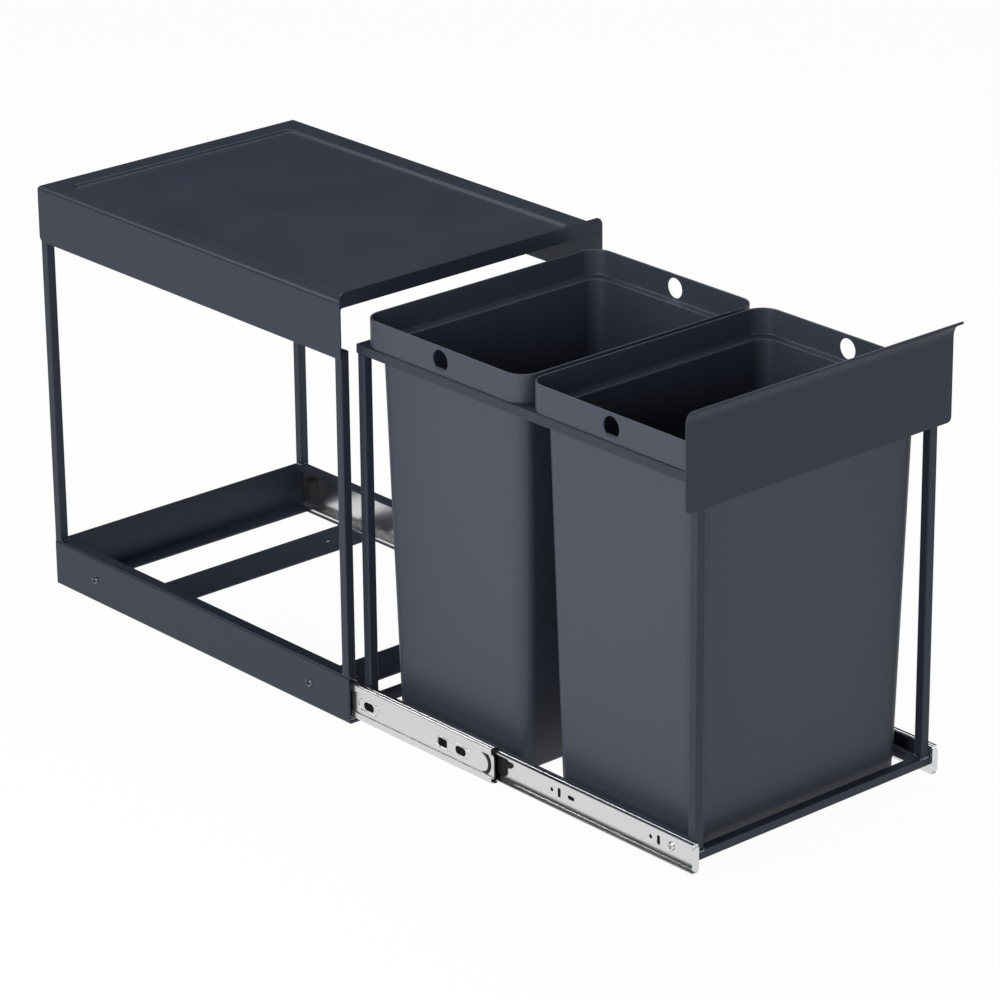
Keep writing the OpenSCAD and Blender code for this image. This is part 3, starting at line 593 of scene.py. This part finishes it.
def bin_piece(node):
    """One bin: a loft from its floor inside, over the rim and down to its foot."""
    low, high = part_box(node)
    centre = (low + high) / 2
    half_x = (high.x - low.x) / 2
    half_y = (high.y - low.y) / 2
    shelf = high.z - COLLAR_HEIGHT
    body_x = half_x - SHOULDER_SIDE
    body_y = half_y - SHOULDER_FRONT
    bm = bmesh.new()
    rings = []

    def collar_level(z, inset):
        rings.append(ring(bm, half_x - inset, half_y - inset, COLLAR_RADIUS - inset, z, centre))

    whole_fall = (shelf - low.z) * math.tan(BIN_DRAFT)
    drafted = shelf - low.z - FOOT_RADIUS

    def body_level(z, inset):
        fall = whole_fall * min((shelf - z) / drafted, 1)
        rings.append(ring(bm, body_x - fall - inset, body_y - fall - inset,
                          max(BODY_RADIUS - inset, GUARD), z, centre))

    # Inside, from the floor up to the ledge
    floor = low.z + BIN_WALL
    turn = FOOT_RADIUS - BIN_WALL
    body_level(floor, BODY_RADIUS - GUARD)
    for z, inset in arc(floor + turn, FOOT_RADIUS, turn, -90, -180):
        body_level(z, inset)
    body_level(shelf - 3 * LEDGE_FILLET, BIN_WALL)
    edge = LEDGE_FILLET / 2
    for z, inset in arc(shelf + BIN_WALL - edge, BIN_WALL - edge, edge, 0, 90):
        body_level(z, inset)
    # Ledge and inner wall of the collar
    for z, inset in arc(shelf + BIN_WALL + LEDGE_FILLET, BIN_WALL + LEDGE_FILLET,
                        LEDGE_FILLET, -90, -180):
        collar_level(z, inset)
    rim = BIN_WALL / 2
    collar_level(high.z - rim - GUARD, BIN_WALL)
    for z, inset in arc(high.z - rim, rim, rim, 0, 180):
        collar_level(z, inset)
    # Outside of the collar, its underside and the body
    collar_level(high.z - rim - GUARD, 0)
    collar_level(shelf + edge + GUARD, 0)
    for z, inset in arc(shelf + edge, edge, edge, 180, 270):
        collar_level(z, inset)
    for z, inset in arc(shelf - edge, -edge, edge, 90, 0):
        body_level(z, inset)
    body_level(shelf - 3 * LEDGE_FILLET, 0)
    # The foot stands in by a small step with rounded edges, above the bottom edge
    half_step = STEP_DEPTH / 2
    step = low.z + STEP_HEIGHT
    for z, inset in arc(step, half_step, half_step, 180, 270):
        body_level(z, inset)
    for z, inset in arc(step - STEP_DEPTH, half_step, half_step, 90, 0):
        body_level(z, inset)
    for z, inset in arc(low.z + FOOT_RADIUS, STEP_DEPTH + FOOT_RADIUS,
                        FOOT_RADIUS, 180, 270):
        body_level(z, inset)
    joined_rings(bm, rings)
    bm.faces.new(rings[0])
    bm.faces.new(rings[-1])
    bmesh.ops.remove_doubles(bm, verts=bm.verts, dist=MERGE_GAP)
    bmesh.ops.recalc_face_normals(bm, faces=bm.faces)
    obj = piece_from(node + "_moulding", bm)
    for side in (-1, 1):
        cut_finger_hole(obj, centre.x + side * half_x, centre.y, shelf + COLLAR_HEIGHT / 2, side)
    soften(obj, 0)
    return finished(obj, body_of[node], slot_of[node], [node])


def cut_finger_hole(obj, x, y, z, side):
    """Cuts a bevelled round hole through the collar's side wall."""
    profile = [(-2 * BIN_WALL, FINGER_RADIUS), (-FINGER_BEVEL, FINGER_RADIUS),
               (FINGER_BEVEL, FINGER_RADIUS + 2 * FINGER_BEVEL)]
    bm = bmesh.new()
    loops = []
    for depth, radius in profile:
        loops.append([bm.verts.new((x + side * depth,
                                    y + radius * math.cos(math.tau * i / FINGER_STEPS),
                                    z + radius * math.sin(math.tau * i / FINGER_STEPS)))
                      for i in range(FINGER_STEPS)])
    joined_rings(bm, loops)
    bm.faces.new(loops[0])
    bm.faces.new(loops[-1])
    bmesh.ops.recalc_face_normals(bm, faces=bm.faces)
    cutter = piece_from("finger_cutter", bm)
    hole = obj.modifiers.new("finger_hole", "BOOLEAN")
    hole.operation = "DIFFERENCE"
    hole.solver = "EXACT"
    hole.object = cutter
    evaluated(obj)
    bpy.data.objects.remove(cutter)
    obj.data.set_sharp_from_angle(angle=SHARP_ANGLE)


for node in BINS:
    made = bin_piece(node)
    print(made.name, len(made.data.polygons), "faces")

# %% [markdown]
# The drawer's two rings are square tube, mitred and welded at the corners, and
# the welds are ground flush before the paint. Four bars would show a seam at
# every corner. The loft of the bins does better: its levels now run round the
# tube's own section, each as a ring of the frame's outline, and close on the
# first.

# %% Welded rings
TUBE = 10 * MM
TUBE_RADIUS = 1.2 * MM
RING_CORNER = 0.8 * MM


def tube_ring(name, nodes):
    """One welded ring of square tube in place of its four bars."""
    boxes = [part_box(node) for node in nodes]
    low = Vector([min(box[0][k] for box in boxes) for k in range(3)])
    high = Vector([max(box[1][k] for box in boxes) for k in range(3)])
    centre = (low + high) / 2
    half_x = (high.x - low.x) / 2
    half_y = (high.y - low.y) / 2
    near, far = TUBE_RADIUS, TUBE - TUBE_RADIUS
    section = []
    for z, inset, start in ((far, near, 180), (far, far, 90), (near, far, 0), (near, near, -90)):
        section += arc(z, inset, TUBE_RADIUS, start, start - 90)
    bm = bmesh.new()
    rings = [ring(bm, half_x - inset, half_y - inset, max(RING_CORNER - inset, GUARD),
                  low.z + z, centre)
             for z, inset in section]
    joined_rings(bm, rings + rings[:1])
    bmesh.ops.remove_doubles(bm, verts=bm.verts, dist=MERGE_GAP)
    bmesh.ops.recalc_face_normals(bm, faces=bm.faces)
    obj = soften(piece_from(name, bm), 0)
    return finished(obj, body_of[nodes[0]], slot_of[nodes[0]], nodes)


for name, nodes in (("welded_top_ring", TOP_RING), ("welded_bottom_ring", BOTTOM_RING)):
    print(name, len(tube_ring(name, nodes).data.polygons), "faces")

# %% [markdown]
# What repeats is left to Geometry Nodes. A Recipe wraps a node tree the way
# Paint wraps a material: inputs are named sizes, and any node comes from one
# method. Each tree ends by making its copies real and giving them a finish,
# and the result is then turned into a plain mesh.

# %% Recipes for repeated shapes


class Recipe:
    """A Geometry Nodes tree with named inputs."""

    def __init__(self, name):
        self.tree = bpy.data.node_groups.new(name, "GeometryNodeTree")
        self.identifiers = {}
        self.entry = self.tree.nodes.new("NodeGroupInput")
        self.start = self.input("Lines", "NodeSocketGeometry")
        self.tree.interface.new_socket("Shape", in_out="OUTPUT", socket_type="NodeSocketGeometry")

    def input(self, name, kind):
        """Adds a named input and returns the socket that it feeds."""
        socket = self.tree.interface.new_socket(name, in_out="INPUT", socket_type=kind)
        self.identifiers[name] = socket.identifier
        return self.entry.outputs[name]

    def node(self, kind, settings=None, inputs=None, output=0):
        """Makes a node, sets it, then fills or links its sockets."""
        made = self.tree.nodes.new(kind)
        for key, value in (settings or {}).items():
            setattr(made, key, value)
        for key, value in (inputs or {}).items():
            if isinstance(value, bpy.types.NodeSocket):
                self.tree.links.new(value, made.inputs[key])
            else:
                made.inputs[key].default_value = value
        return made.outputs[output]

    def end(self, shape):
        """Makes the copies real, smooths them and gives them the finish."""
        real = self.node("GeometryNodeRealizeInstances", None, {"Geometry": shape})
        smooth = self.node("GeometryNodeSetShadeSmooth", None,
                           {"Geometry": real, "Shade Smooth": True})
        finish = self.input("Finish", "NodeSocketMaterial")
        coated = self.node("GeometryNodeSetMaterial", None,
                           {"Geometry": smooth, "Material": finish})
        self.tree.links.new(coated, self.tree.nodes.new("NodeGroupOutput").inputs[0])
        return self

    def grow(self, obj, **values):
        """Runs the tree on an object and keeps the result as its mesh."""
        modifier = obj.modifiers.new(self.tree.name, "NODES")
        modifier.node_group = self.tree
        for name, value in values.items():
            modifier[self.identifiers[name.replace("_", " ")]] = value
        return evaluated(obj)


def lines_object(name, lines):
    """An object whose mesh is only the lines that a recipe follows."""
    bm = bmesh.new()
    for start, end in lines:
        bm.edges.new((bm.verts.new(start), bm.verts.new(end)))
    return piece_from(name, bm)


def loose_parts(node):
    """Corners of the box round each loose part of a solid, ordered."""
    bm = merged(node)
    waiting = set(bm.verts)
    boxes = []
    while waiting:
        found = [waiting.pop()]
        part = []
        while found:
            vert = found.pop()
            part.append(vert.co.copy())
            for edge in vert.link_edges:
                other = edge.other_vert(vert)
                if other in waiting:
                    waiting.remove(other)
                    found.append(other)
        boxes.append((Vector([min(co[k] for co in part) for k in range(3)]),
                      Vector([max(co[k] for co in part) for k in range(3)])))
    bm.free()
    return sorted(boxes, key=lambda box: tuple(round(value, 5) for value in box[0]))


# %% [markdown]
# Each cage holds two rows of balls, one in the upper race and one in the lower.
# A row is a straight line, cut into as many points as it has balls, with a
# sphere on each. The count and the radius are read from the cage's own solid.

# %% Ball rows
BALL_SEGMENTS = 24


def ball_recipe():
    """Spheres along each line."""
    recipe = Recipe("ball_rows")
    count = recipe.input("Balls in a row", "NodeSocketInt")
    radius = recipe.input("Ball radius", "NodeSocketFloat")
    rows = recipe.node("GeometryNodeMeshToCurve", None, {"Mesh": recipe.start})
    points = recipe.node("GeometryNodeCurveToPoints", {"mode": "COUNT"},
                         {"Curve": rows, "Count": count})
    ball = recipe.node("GeometryNodeMeshUVSphere", None,
                       {"Segments": BALL_SEGMENTS, "Rings": BALL_SEGMENTS // 2, "Radius": radius})
    balls = recipe.node("GeometryNodeInstanceOnPoints", None, {"Points": points, "Instance": ball})
    return recipe.end(balls)


def ball_piece(node, recipe):
    """Both rows of one cage's balls."""
    boxes = loose_parts(node)
    radius = (boxes[0][1] - boxes[0][0]).z / 2
    middles = [(low + high) / 2 for low, high in boxes]
    levels = sorted({round(middle.z, 4) for middle in middles})
    rows = [sorted((middle for middle in middles if abs(middle.z - level) < MM),
                   key=lambda middle: middle.y)
            for level in levels]
    obj = lines_object(node + "_row", [(row[0], row[-1]) for row in rows])
    recipe.grow(obj, Balls_in_a_row=len(rows[0]), Ball_radius=radius,
                Finish=FINISHES[slot_of[node]])
    return finished(obj, body_of[node], slot_of[node], [node])


balls = ball_recipe()
for node in BALL_ROWS:
    made = ball_piece(node, balls)
    print(made.name, len(made.data.polygons), "faces")

# %% [markdown]
# The slots and holes of the slides look black, because little light comes back
# out of them. A black plate a little below the sheet's face paints that shade
# in. The long slots lie in pressed pockets, whose rolled rims show as bright
# threads.
# A rim follows a path, so it is a wire swept along the pocket's outline.

# %% Painted shade in the holes, and rims of the slides
# Thickness of the black plates of painted shade, and how far below the sheet's face they sit
SHADE_PLATE_SHEET = 0.45 * MM
SHADE_PLATE_DEPTH = 0.35 * MM
POCKET_DEPTH = 0.3 * MM
# The middle member's web lies this far inside its outermost face
MIDDLE_WEB_SET = 1.0 * MM
RIM_RADIUS = 0.42 * MM
RIM_FACETS = 10
OUTLINE_STEPS = 8


def outline(x, hole, growth):
    """Points round a soft-cornered hole in the sheet at x."""
    y, half_y, half_z, radius = hole
    half_y, half_z, radius = half_y + growth, half_z + growth, radius + growth
    points = []
    for quarter, (sy, sz) in enumerate([(1, 1), (-1, 1), (-1, -1), (1, -1)]):
        for step in range(OUTLINE_STEPS + 1):
            angle = math.pi / 2 * (quarter + step / OUTLINE_STEPS)
            points.append(Vector((
                x, y + sy * (half_y - radius) + radius * math.cos(angle),
                SLIDE_MIDDLE + sz * (half_z - radius) + radius * math.sin(angle))))
    return points


def shade_plates(name, outlines, inward, body):
    """Black plates of painted shade that fill outlines, their thickness towards the drawer's
    middle.
    """
    bm = bmesh.new()
    for points in outlines:
        loops = [[bm.verts.new(point + Vector((step, 0, 0))) for point in points]
                 for step in (0, inward * SHADE_PLATE_SHEET)]
        joined_rings(bm, loops)
        for loop in loops:
            bm.faces.new(loop)
    bmesh.ops.remove_doubles(bm, verts=bm.verts, dist=MERGE_GAP)
    bmesh.ops.recalc_face_normals(bm, faces=bm.faces)
    # The plates go in the black plastic slot, but their finish is painted shade
    return finished(piece_from(name, bm), body, "black_plastic", finish=painted_hole_shade)


def rim_recipe():
    """A round wire along each line."""
    recipe = Recipe("pressed_rim")
    radius = recipe.input("Rim radius", "NodeSocketFloat")
    path = recipe.node("GeometryNodeMeshToCurve", None, {"Mesh": recipe.start})
    wire = recipe.node("GeometryNodeCurvePrimitiveCircle", {"mode": "RADIUS"},
                       {"Resolution": RIM_FACETS, "Radius": radius})
    return recipe.end(recipe.node("GeometryNodeCurveToMesh", None,
                                  {"Curve": path, "Profile Curve": wire}))


def slide_details(side_name, side, rims):
    """Black plates of painted shade in both moving members of one slide, and the rims of the middle
    one.
    """
    middle, inner = side_name + "_slide_middle", side_name + "_slide_inner"
    web = max(abs(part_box(middle)[0].x), abs(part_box(middle)[1].x)) - MIDDLE_WEB_SET
    face = min(abs(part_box(inner)[0].x), abs(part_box(inner)[1].x)) + SHEET
    for node, x, name in ((middle, web - POCKET_DEPTH - SHADE_PLATE_DEPTH, "slot_plugs"),
                          (inner, face - SHADE_PLATE_DEPTH, "hole_plugs")):
        outlines = [outline(side * x, hole, PUNCH_GROWTH) for hole in punched(node)]
        shade_plates(node + "_" + name, outlines, -side, body_of[node])
    pockets = placed(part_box(middle)[0].y, MIDDLE_POCKETS)
    lines = []
    for pocket in pockets:
        points = outline(side * web, pocket, 0)
        lines += list(zip(points, points[1:] + points[:1]))
    obj = lines_object(middle + "_pocket_rims", lines)
    rims.grow(obj, Rim_radius=RIM_RADIUS, Finish=zinc)
    return finished(obj, body_of[middle], "zinc_steel")


rims = rim_recipe()
for side_name, side in (("left", -1), ("right", 1)):
    print(slide_details(side_name, side, rims).name)

# %% [markdown]
# All eight screws are pan heads with a cross recess. One head is turned on a
# lathe of rings and its cross is cut out. Geometry Nodes then set a copy on
# each point, turned to the side that the point faces. The dark ones hold the
# slides in their rails, the bright ones hold the drawer on the slides. The heads
# are drawn a little wider than the solids', as the photograph shows them.

# %% Screws
HEAD_RISE = 1.8 * MM
SHANK_RADIUS = 1.9 * MM
HEAD_PROFILE = [
    # share of the head's radius, share of its height
    (0.0, 1.0), (0.3, 0.99), (0.55, 0.93), (0.76, 0.80),
    (0.90, 0.60), (0.98, 0.32), (1.0, 0.10), (0.98, 0.0)]
LATHE_STEPS = 40
# The cross recess, as shares of the head's radius and of its height
CROSS_ARM = 0.66
CROSS_WIDTH = 0.21
CROSS_DEPTH = 0.8
CROSS_FOOT = 0.7
CROSS_MOUTH = 1.1
CROSS_TOP = 1.2


def turned(name, profile):
    """A closed solid of revolution about the z axis, from pairs of radius and height."""
    bm = bmesh.new()
    rings = [[bm.verts.new((radius * math.cos(math.tau * i / LATHE_STEPS),
                            radius * math.sin(math.tau * i / LATHE_STEPS), z))
              for i in range(LATHE_STEPS)] for radius, z in profile]
    joined_rings(bm, rings)
    bmesh.ops.remove_doubles(bm, verts=bm.verts, dist=MERGE_GAP)
    bmesh.ops.dissolve_degenerate(bm, dist=MERGE_GAP, edges=bm.edges)
    bmesh.ops.recalc_face_normals(bm, faces=bm.faces)
    return piece_from(name, bm)


def cross_cutter(head_radius):
    """A tapered cross that stands over the head."""
    arm, half = CROSS_ARM * head_radius, CROSS_WIDTH * head_radius
    corners = [(half, half), (half, arm), (-half, arm), (-half, half),
               (-arm, half), (-arm, -half), (-half, -half), (-half, -arm),
               (half, -arm), (half, -half), (arm, -half), (arm, half)]
    bm = bmesh.new()
    loops = [[bm.verts.new((x * scale, y * scale, z)) for x, y in corners]
             for z, scale in ((HEAD_RISE * (1 - CROSS_DEPTH), CROSS_FOOT),
                              (HEAD_RISE * CROSS_TOP, CROSS_MOUTH))]
    joined_rings(bm, loops)
    for loop in loops:
        bm.faces.new(loop)
    bmesh.ops.recalc_face_normals(bm, faces=bm.faces)
    return piece_from("cross_cutter", bm)


def screw_pattern(head_radius, shank):
    """One screw along the z axis, its head's underside at the origin."""
    profile = [(share * head_radius, rise * HEAD_RISE) for share, rise in HEAD_PROFILE]
    profile += [(SHANK_RADIUS, 0), (SHANK_RADIUS, -shank), (0, -shank)]
    obj = turned("screw_pattern", profile)
    cutter = cross_cutter(head_radius)
    recess = obj.modifiers.new("cross_recess", "BOOLEAN")
    recess.operation = "DIFFERENCE"
    recess.solver = "EXACT"
    recess.object = cutter
    evaluated(obj)
    bpy.data.objects.remove(cutter)
    return obj


def screw_recipe():
    """A screw on each point, turned to where the point faces."""
    recipe = Recipe("screws_on_points")
    screw = recipe.input("Screw", "NodeSocketObject")
    pattern = recipe.node("GeometryNodeObjectInfo", None,
                          {"Object": screw, "As Instance": True}, output="Geometry")
    facing = recipe.node("GeometryNodeInputNamedAttribute", {"data_type": "FLOAT_VECTOR"},
                         {"Name": "facing"})
    turn = recipe.node("FunctionNodeAlignRotationToVector", {"axis": "Z"}, {"Vector": facing})
    return recipe.end(recipe.node("GeometryNodeInstanceOnPoints", None,
                                  {"Points": recipe.start, "Instance": pattern, "Rotation": turn}))


def screw_piece(node, head_radius, finish, recipe):
    """All screws of one set, each in the place of its solid."""
    bm = bmesh.new()
    sides = []
    for low, high in loose_parts(node):
        middle = (low + high) / 2
        side = math.copysign(1, middle.x)
        reach = max(abs(low.x), abs(high.x))
        bm.verts.new((side * (reach - HEAD_RISE), middle.y, middle.z))
        sides.append(side)
        length = high.x - low.x
    obj = piece_from(node + "_set", bm)
    facing = obj.data.attributes.new("facing", "FLOAT_VECTOR", "POINT")
    for i, side in enumerate(sides):
        facing.data[i].vector = (side, 0, 0)
    pattern = screw_pattern(head_radius, length - HEAD_RISE)
    recipe.grow(obj, Screw=pattern, Finish=finish)
    bpy.data.objects.remove(pattern)
    obj.data.set_sharp_from_angle(angle=SHARP_ANGLE)
    return finished(obj, body_of[node], slot_of[node], [node], finish)


screws = screw_recipe()
for node, head_radius, finish in (("rail_screws", 4.8 * MM, FINISHES["dark_screw"]),
                                  ("slide_screws", 4.4 * MM, screw_zinc)):
    made = screw_piece(node, head_radius, finish, screws)
    print(made.name, len(made.data.polygons), "faces")

# %% [markdown]
# The frame is welded, and where no grinder reached, the beads show as small
# glossy lumps. The paint lies thin on them, so the metal shines through. A bead
# follows the line where two parts meet, so it is a round thread on that line,
# pushed out of shape by a noise.

# %% Weld beads
BEAD_RADIUS = 1.5 * MM
BEAD_LUMP = 1.4 * MM
BEAD_UNEVEN = 0.9 * MM
BEAD_STEP = 0.4 * MM
BEAD_FACETS = 12
bead_paint = bright_steel("thinly_painted_weld", (0.24, 0.26, 0.31), 0.16)


def bead_recipe():
    """A lumpy thread along each line."""
    recipe = Recipe("weld_bead")
    uneven = recipe.input("Unevenness", "NodeSocketFloat")
    radius = recipe.input("Bead radius", "NodeSocketFloat")
    path = recipe.node("GeometryNodeMeshToCurve", None, {"Mesh": recipe.start})
    fine = recipe.node("GeometryNodeResampleCurve", {"mode": "LENGTH"},
                       {"Curve": path, "Length": BEAD_STEP})
    thread = recipe.node("GeometryNodeCurvePrimitiveCircle", {"mode": "RADIUS"},
                         {"Resolution": BEAD_FACETS, "Radius": radius})
    tube = recipe.node("GeometryNodeCurveToMesh", None,
                       {"Curve": fine, "Profile Curve": thread, "Fill Caps": True})
    position = recipe.node("GeometryNodeInputPosition")
    lumps = recipe.node("ShaderNodeTexNoise", {"noise_dimensions": "3D"},
                        {"Vector": position, "Scale": 1 / BEAD_LUMP, "Detail": 1.0})
    centred = recipe.node("ShaderNodeMath", {"operation": "SUBTRACT"}, {0: lumps, 1: 0.5})
    height = recipe.node("ShaderNodeMath", {"operation": "MULTIPLY"}, {0: centred, 1: uneven})
    push = recipe.node("ShaderNodeVectorMath", {"operation": "SCALE"},
                       {0: recipe.node("GeometryNodeInputNormal"), "Scale": height})
    return recipe.end(recipe.node("GeometryNodeSetPosition", None,
                                  {"Geometry": tube, "Offset": push}))


def foot_lines(node, level):
    """Lines along the inner side and both cross sides of a post's foot."""
    low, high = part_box(node)
    side = math.copysign(1, low.x + high.x)
    inner = side * min(abs(low.x), abs(high.x))
    outer = side * (max(abs(low.x), abs(high.x)) - BEAD_RADIUS)
    lines = [(Vector((inner, low.y, level)), Vector((inner, high.y, level)))]
    for y in (low.y, high.y):
        lines.append((Vector((inner, y, level)), Vector((outer, y, level))))
    return lines


def within(lines, low_y, high_y):
    """Shortens lines that would stand out at the front or back, and drops those outside."""
    room = BEAD_RADIUS + BEAD_UNEVEN / 2
    kept = []
    for line in lines:
        ends = [Vector((point.x, min(max(point.y, low_y + room), high_y - room), point.z))
                for point in line]
        if any(end == point for end, point in zip(ends, line)):
            kept.append(tuple(ends))
    return kept


def bead_piece(name, lines, body, recipe):
    """The beads of one body as one piece."""
    obj = lines_object(name, lines)
    recipe.grow(obj, Unevenness=BEAD_UNEVEN, Bead_radius=BEAD_RADIUS, Finish=bead_paint)
    return finished(obj, body, "powder_coat", finish=bead_paint)


RAIL_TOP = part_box("left_base_rail")[1].z
RING_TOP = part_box("bottom_left_bar")[1].z
frame_lines, drawer_lines = [], []
for node in frame["nodes"]:
    if node.endswith("_post") and node.startswith("drawer"):
        drawer_lines += foot_lines(node, RING_TOP)
    elif node.endswith("_post"):
        frame_lines += foot_lines(node, RAIL_TOP)
for node in ("front_floor_bar", "rear_floor_bar"):
    low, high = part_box(node)
    for x in (low.x, high.x):
        frame_lines.append((Vector((x, low.y + BEAD_RADIUS, high.z)),
                            Vector((x, high.y - BEAD_RADIUS, high.z))))
beads = bead_recipe()
for name, lines, node in (("frame_weld_beads", frame_lines, "left_base_rail"),
                          ("drawer_weld_beads", drawer_lines, "ring_left_bar")):
    kept = within(lines, CAD_BOUNDS[0][1], CAD_BOUNDS[1][1])
    made = bead_piece(name, kept, body_of[node], beads)
    print(made.name, len(kept), "beads", len(made.data.polygons), "faces")

# %% [markdown]
# The studio is plain. A large pale floor fills the frame, because the camera
# looks down on it. Product photographs are cut out on white, so the floor shows
# itself as plain white to the camera and in mirrors, dimmed by nothing but the
# small share of its own painted face, which takes the object's soft shadow.

# %% Floor
FLOOR_HALF = 60
FLOOR_GAP = 0.4 * MM
FLOOR_WHITE = 0.97
FLOOR_GREY = (0.85, 0.85, 0.85, 1)


def make_floor():
    """A flat square just under the object, white where it is seen directly."""
    bm = bmesh.new()
    bmesh.ops.create_grid(bm, x_segments=1, y_segments=1, size=FLOOR_HALF)
    bmesh.ops.translate(bm, verts=bm.verts, vec=(0, 0, CAD_BOUNDS[0].z - FLOOR_GAP))
    floor = piece_from("studio_floor", bm)
    paint = Paint("pale_floor", Base_Color=FLOOR_GREY, Roughness=0.9, Specular_IOR_Level=0.1)
    rays = paint.tree.nodes.new("ShaderNodeLightPath")
    seen = Field(paint, rays.outputs["Is Camera Ray"]) + Field(paint, rays.outputs["Is Glossy Ray"])
    seen = seen + Field(paint, rays.outputs["Is Transmission Ray"])
    glow = paint.node("ShaderNodeEmission", None, {"Color": (1, 1, 1, 1), "Strength": 1.0})
    mixed = paint.node("ShaderNodeMixShader", None, {0: FLOOR_WHITE * seen, 2: glow})
    mix_node = mixed.socket.node
    paint.tree.links.new(paint.shader.outputs[0], mix_node.inputs[1])
    paint.tree.links.new(mixed.socket, paint.tree.nodes["Material Output"].inputs["Surface"])
    floor.data.materials.append(paint.material)
    return floor


floor = make_floor()
print(floor.name, "at", round(CAD_BOUNDS[0].z - FLOOR_GAP, 4))

# %% [markdown]
# The lamp shines through a large soft panel at the left and draws the lit
# sides. A weaker panel fills the front, a broad one hangs overhead, and a small
# one stands high at the back left, where the rounded folds and rims throw it
# towards the camera. All face one point in the middle of the object.

# %% Soft panels and sky
PANELS = [
    # name, place in metres, size in metres, watts
    ("left_panel", (-1.8, -0.7, 0.9), (1.2, 1.0), 27),
    ("front_panel_lamp", (-0.2, -3.0, 1.1), (1.4, 1.0), 15),
    ("overhead_panel", (0.4, 0.4, 2.4), (2.4, 2.0), 43),
    ("back_panel", (-0.75, 1.4, 1.75), (0.5, 0.5), 9),
]
LIT_POINT = Vector((0, -0.3, 0.25))
WORLD_LEVEL = 0.01


def make_light(name, place, size, watts):
    """A rectangular panel that faces the lit point."""
    data = bpy.data.lights.new(name, "AREA")
    data.shape = "RECTANGLE"
    data.size, data.size_y = size
    data.energy = watts
    lamp = bpy.data.objects.new(name, data)
    lamp.location = place
    lamp.rotation_mode = "QUATERNION"
    lamp.rotation_quaternion = (LIT_POINT - Vector(place)).to_track_quat("-Z", "Y")
    bpy.context.scene.collection.objects.link(lamp)
    return lamp


for row in PANELS:
    make_light(*row)

world = bpy.data.worlds.new("studio_sky")
world.use_nodes = True
background = world.node_tree.nodes["Background"]
background.inputs["Color"].default_value = (1, 1, 1, 1)
background.inputs["Strength"].default_value = WORLD_LEVEL
bpy.context.scene.world = world
bpy.context.scene.view_settings.view_transform = "Standard"
print("lights", len(PANELS))
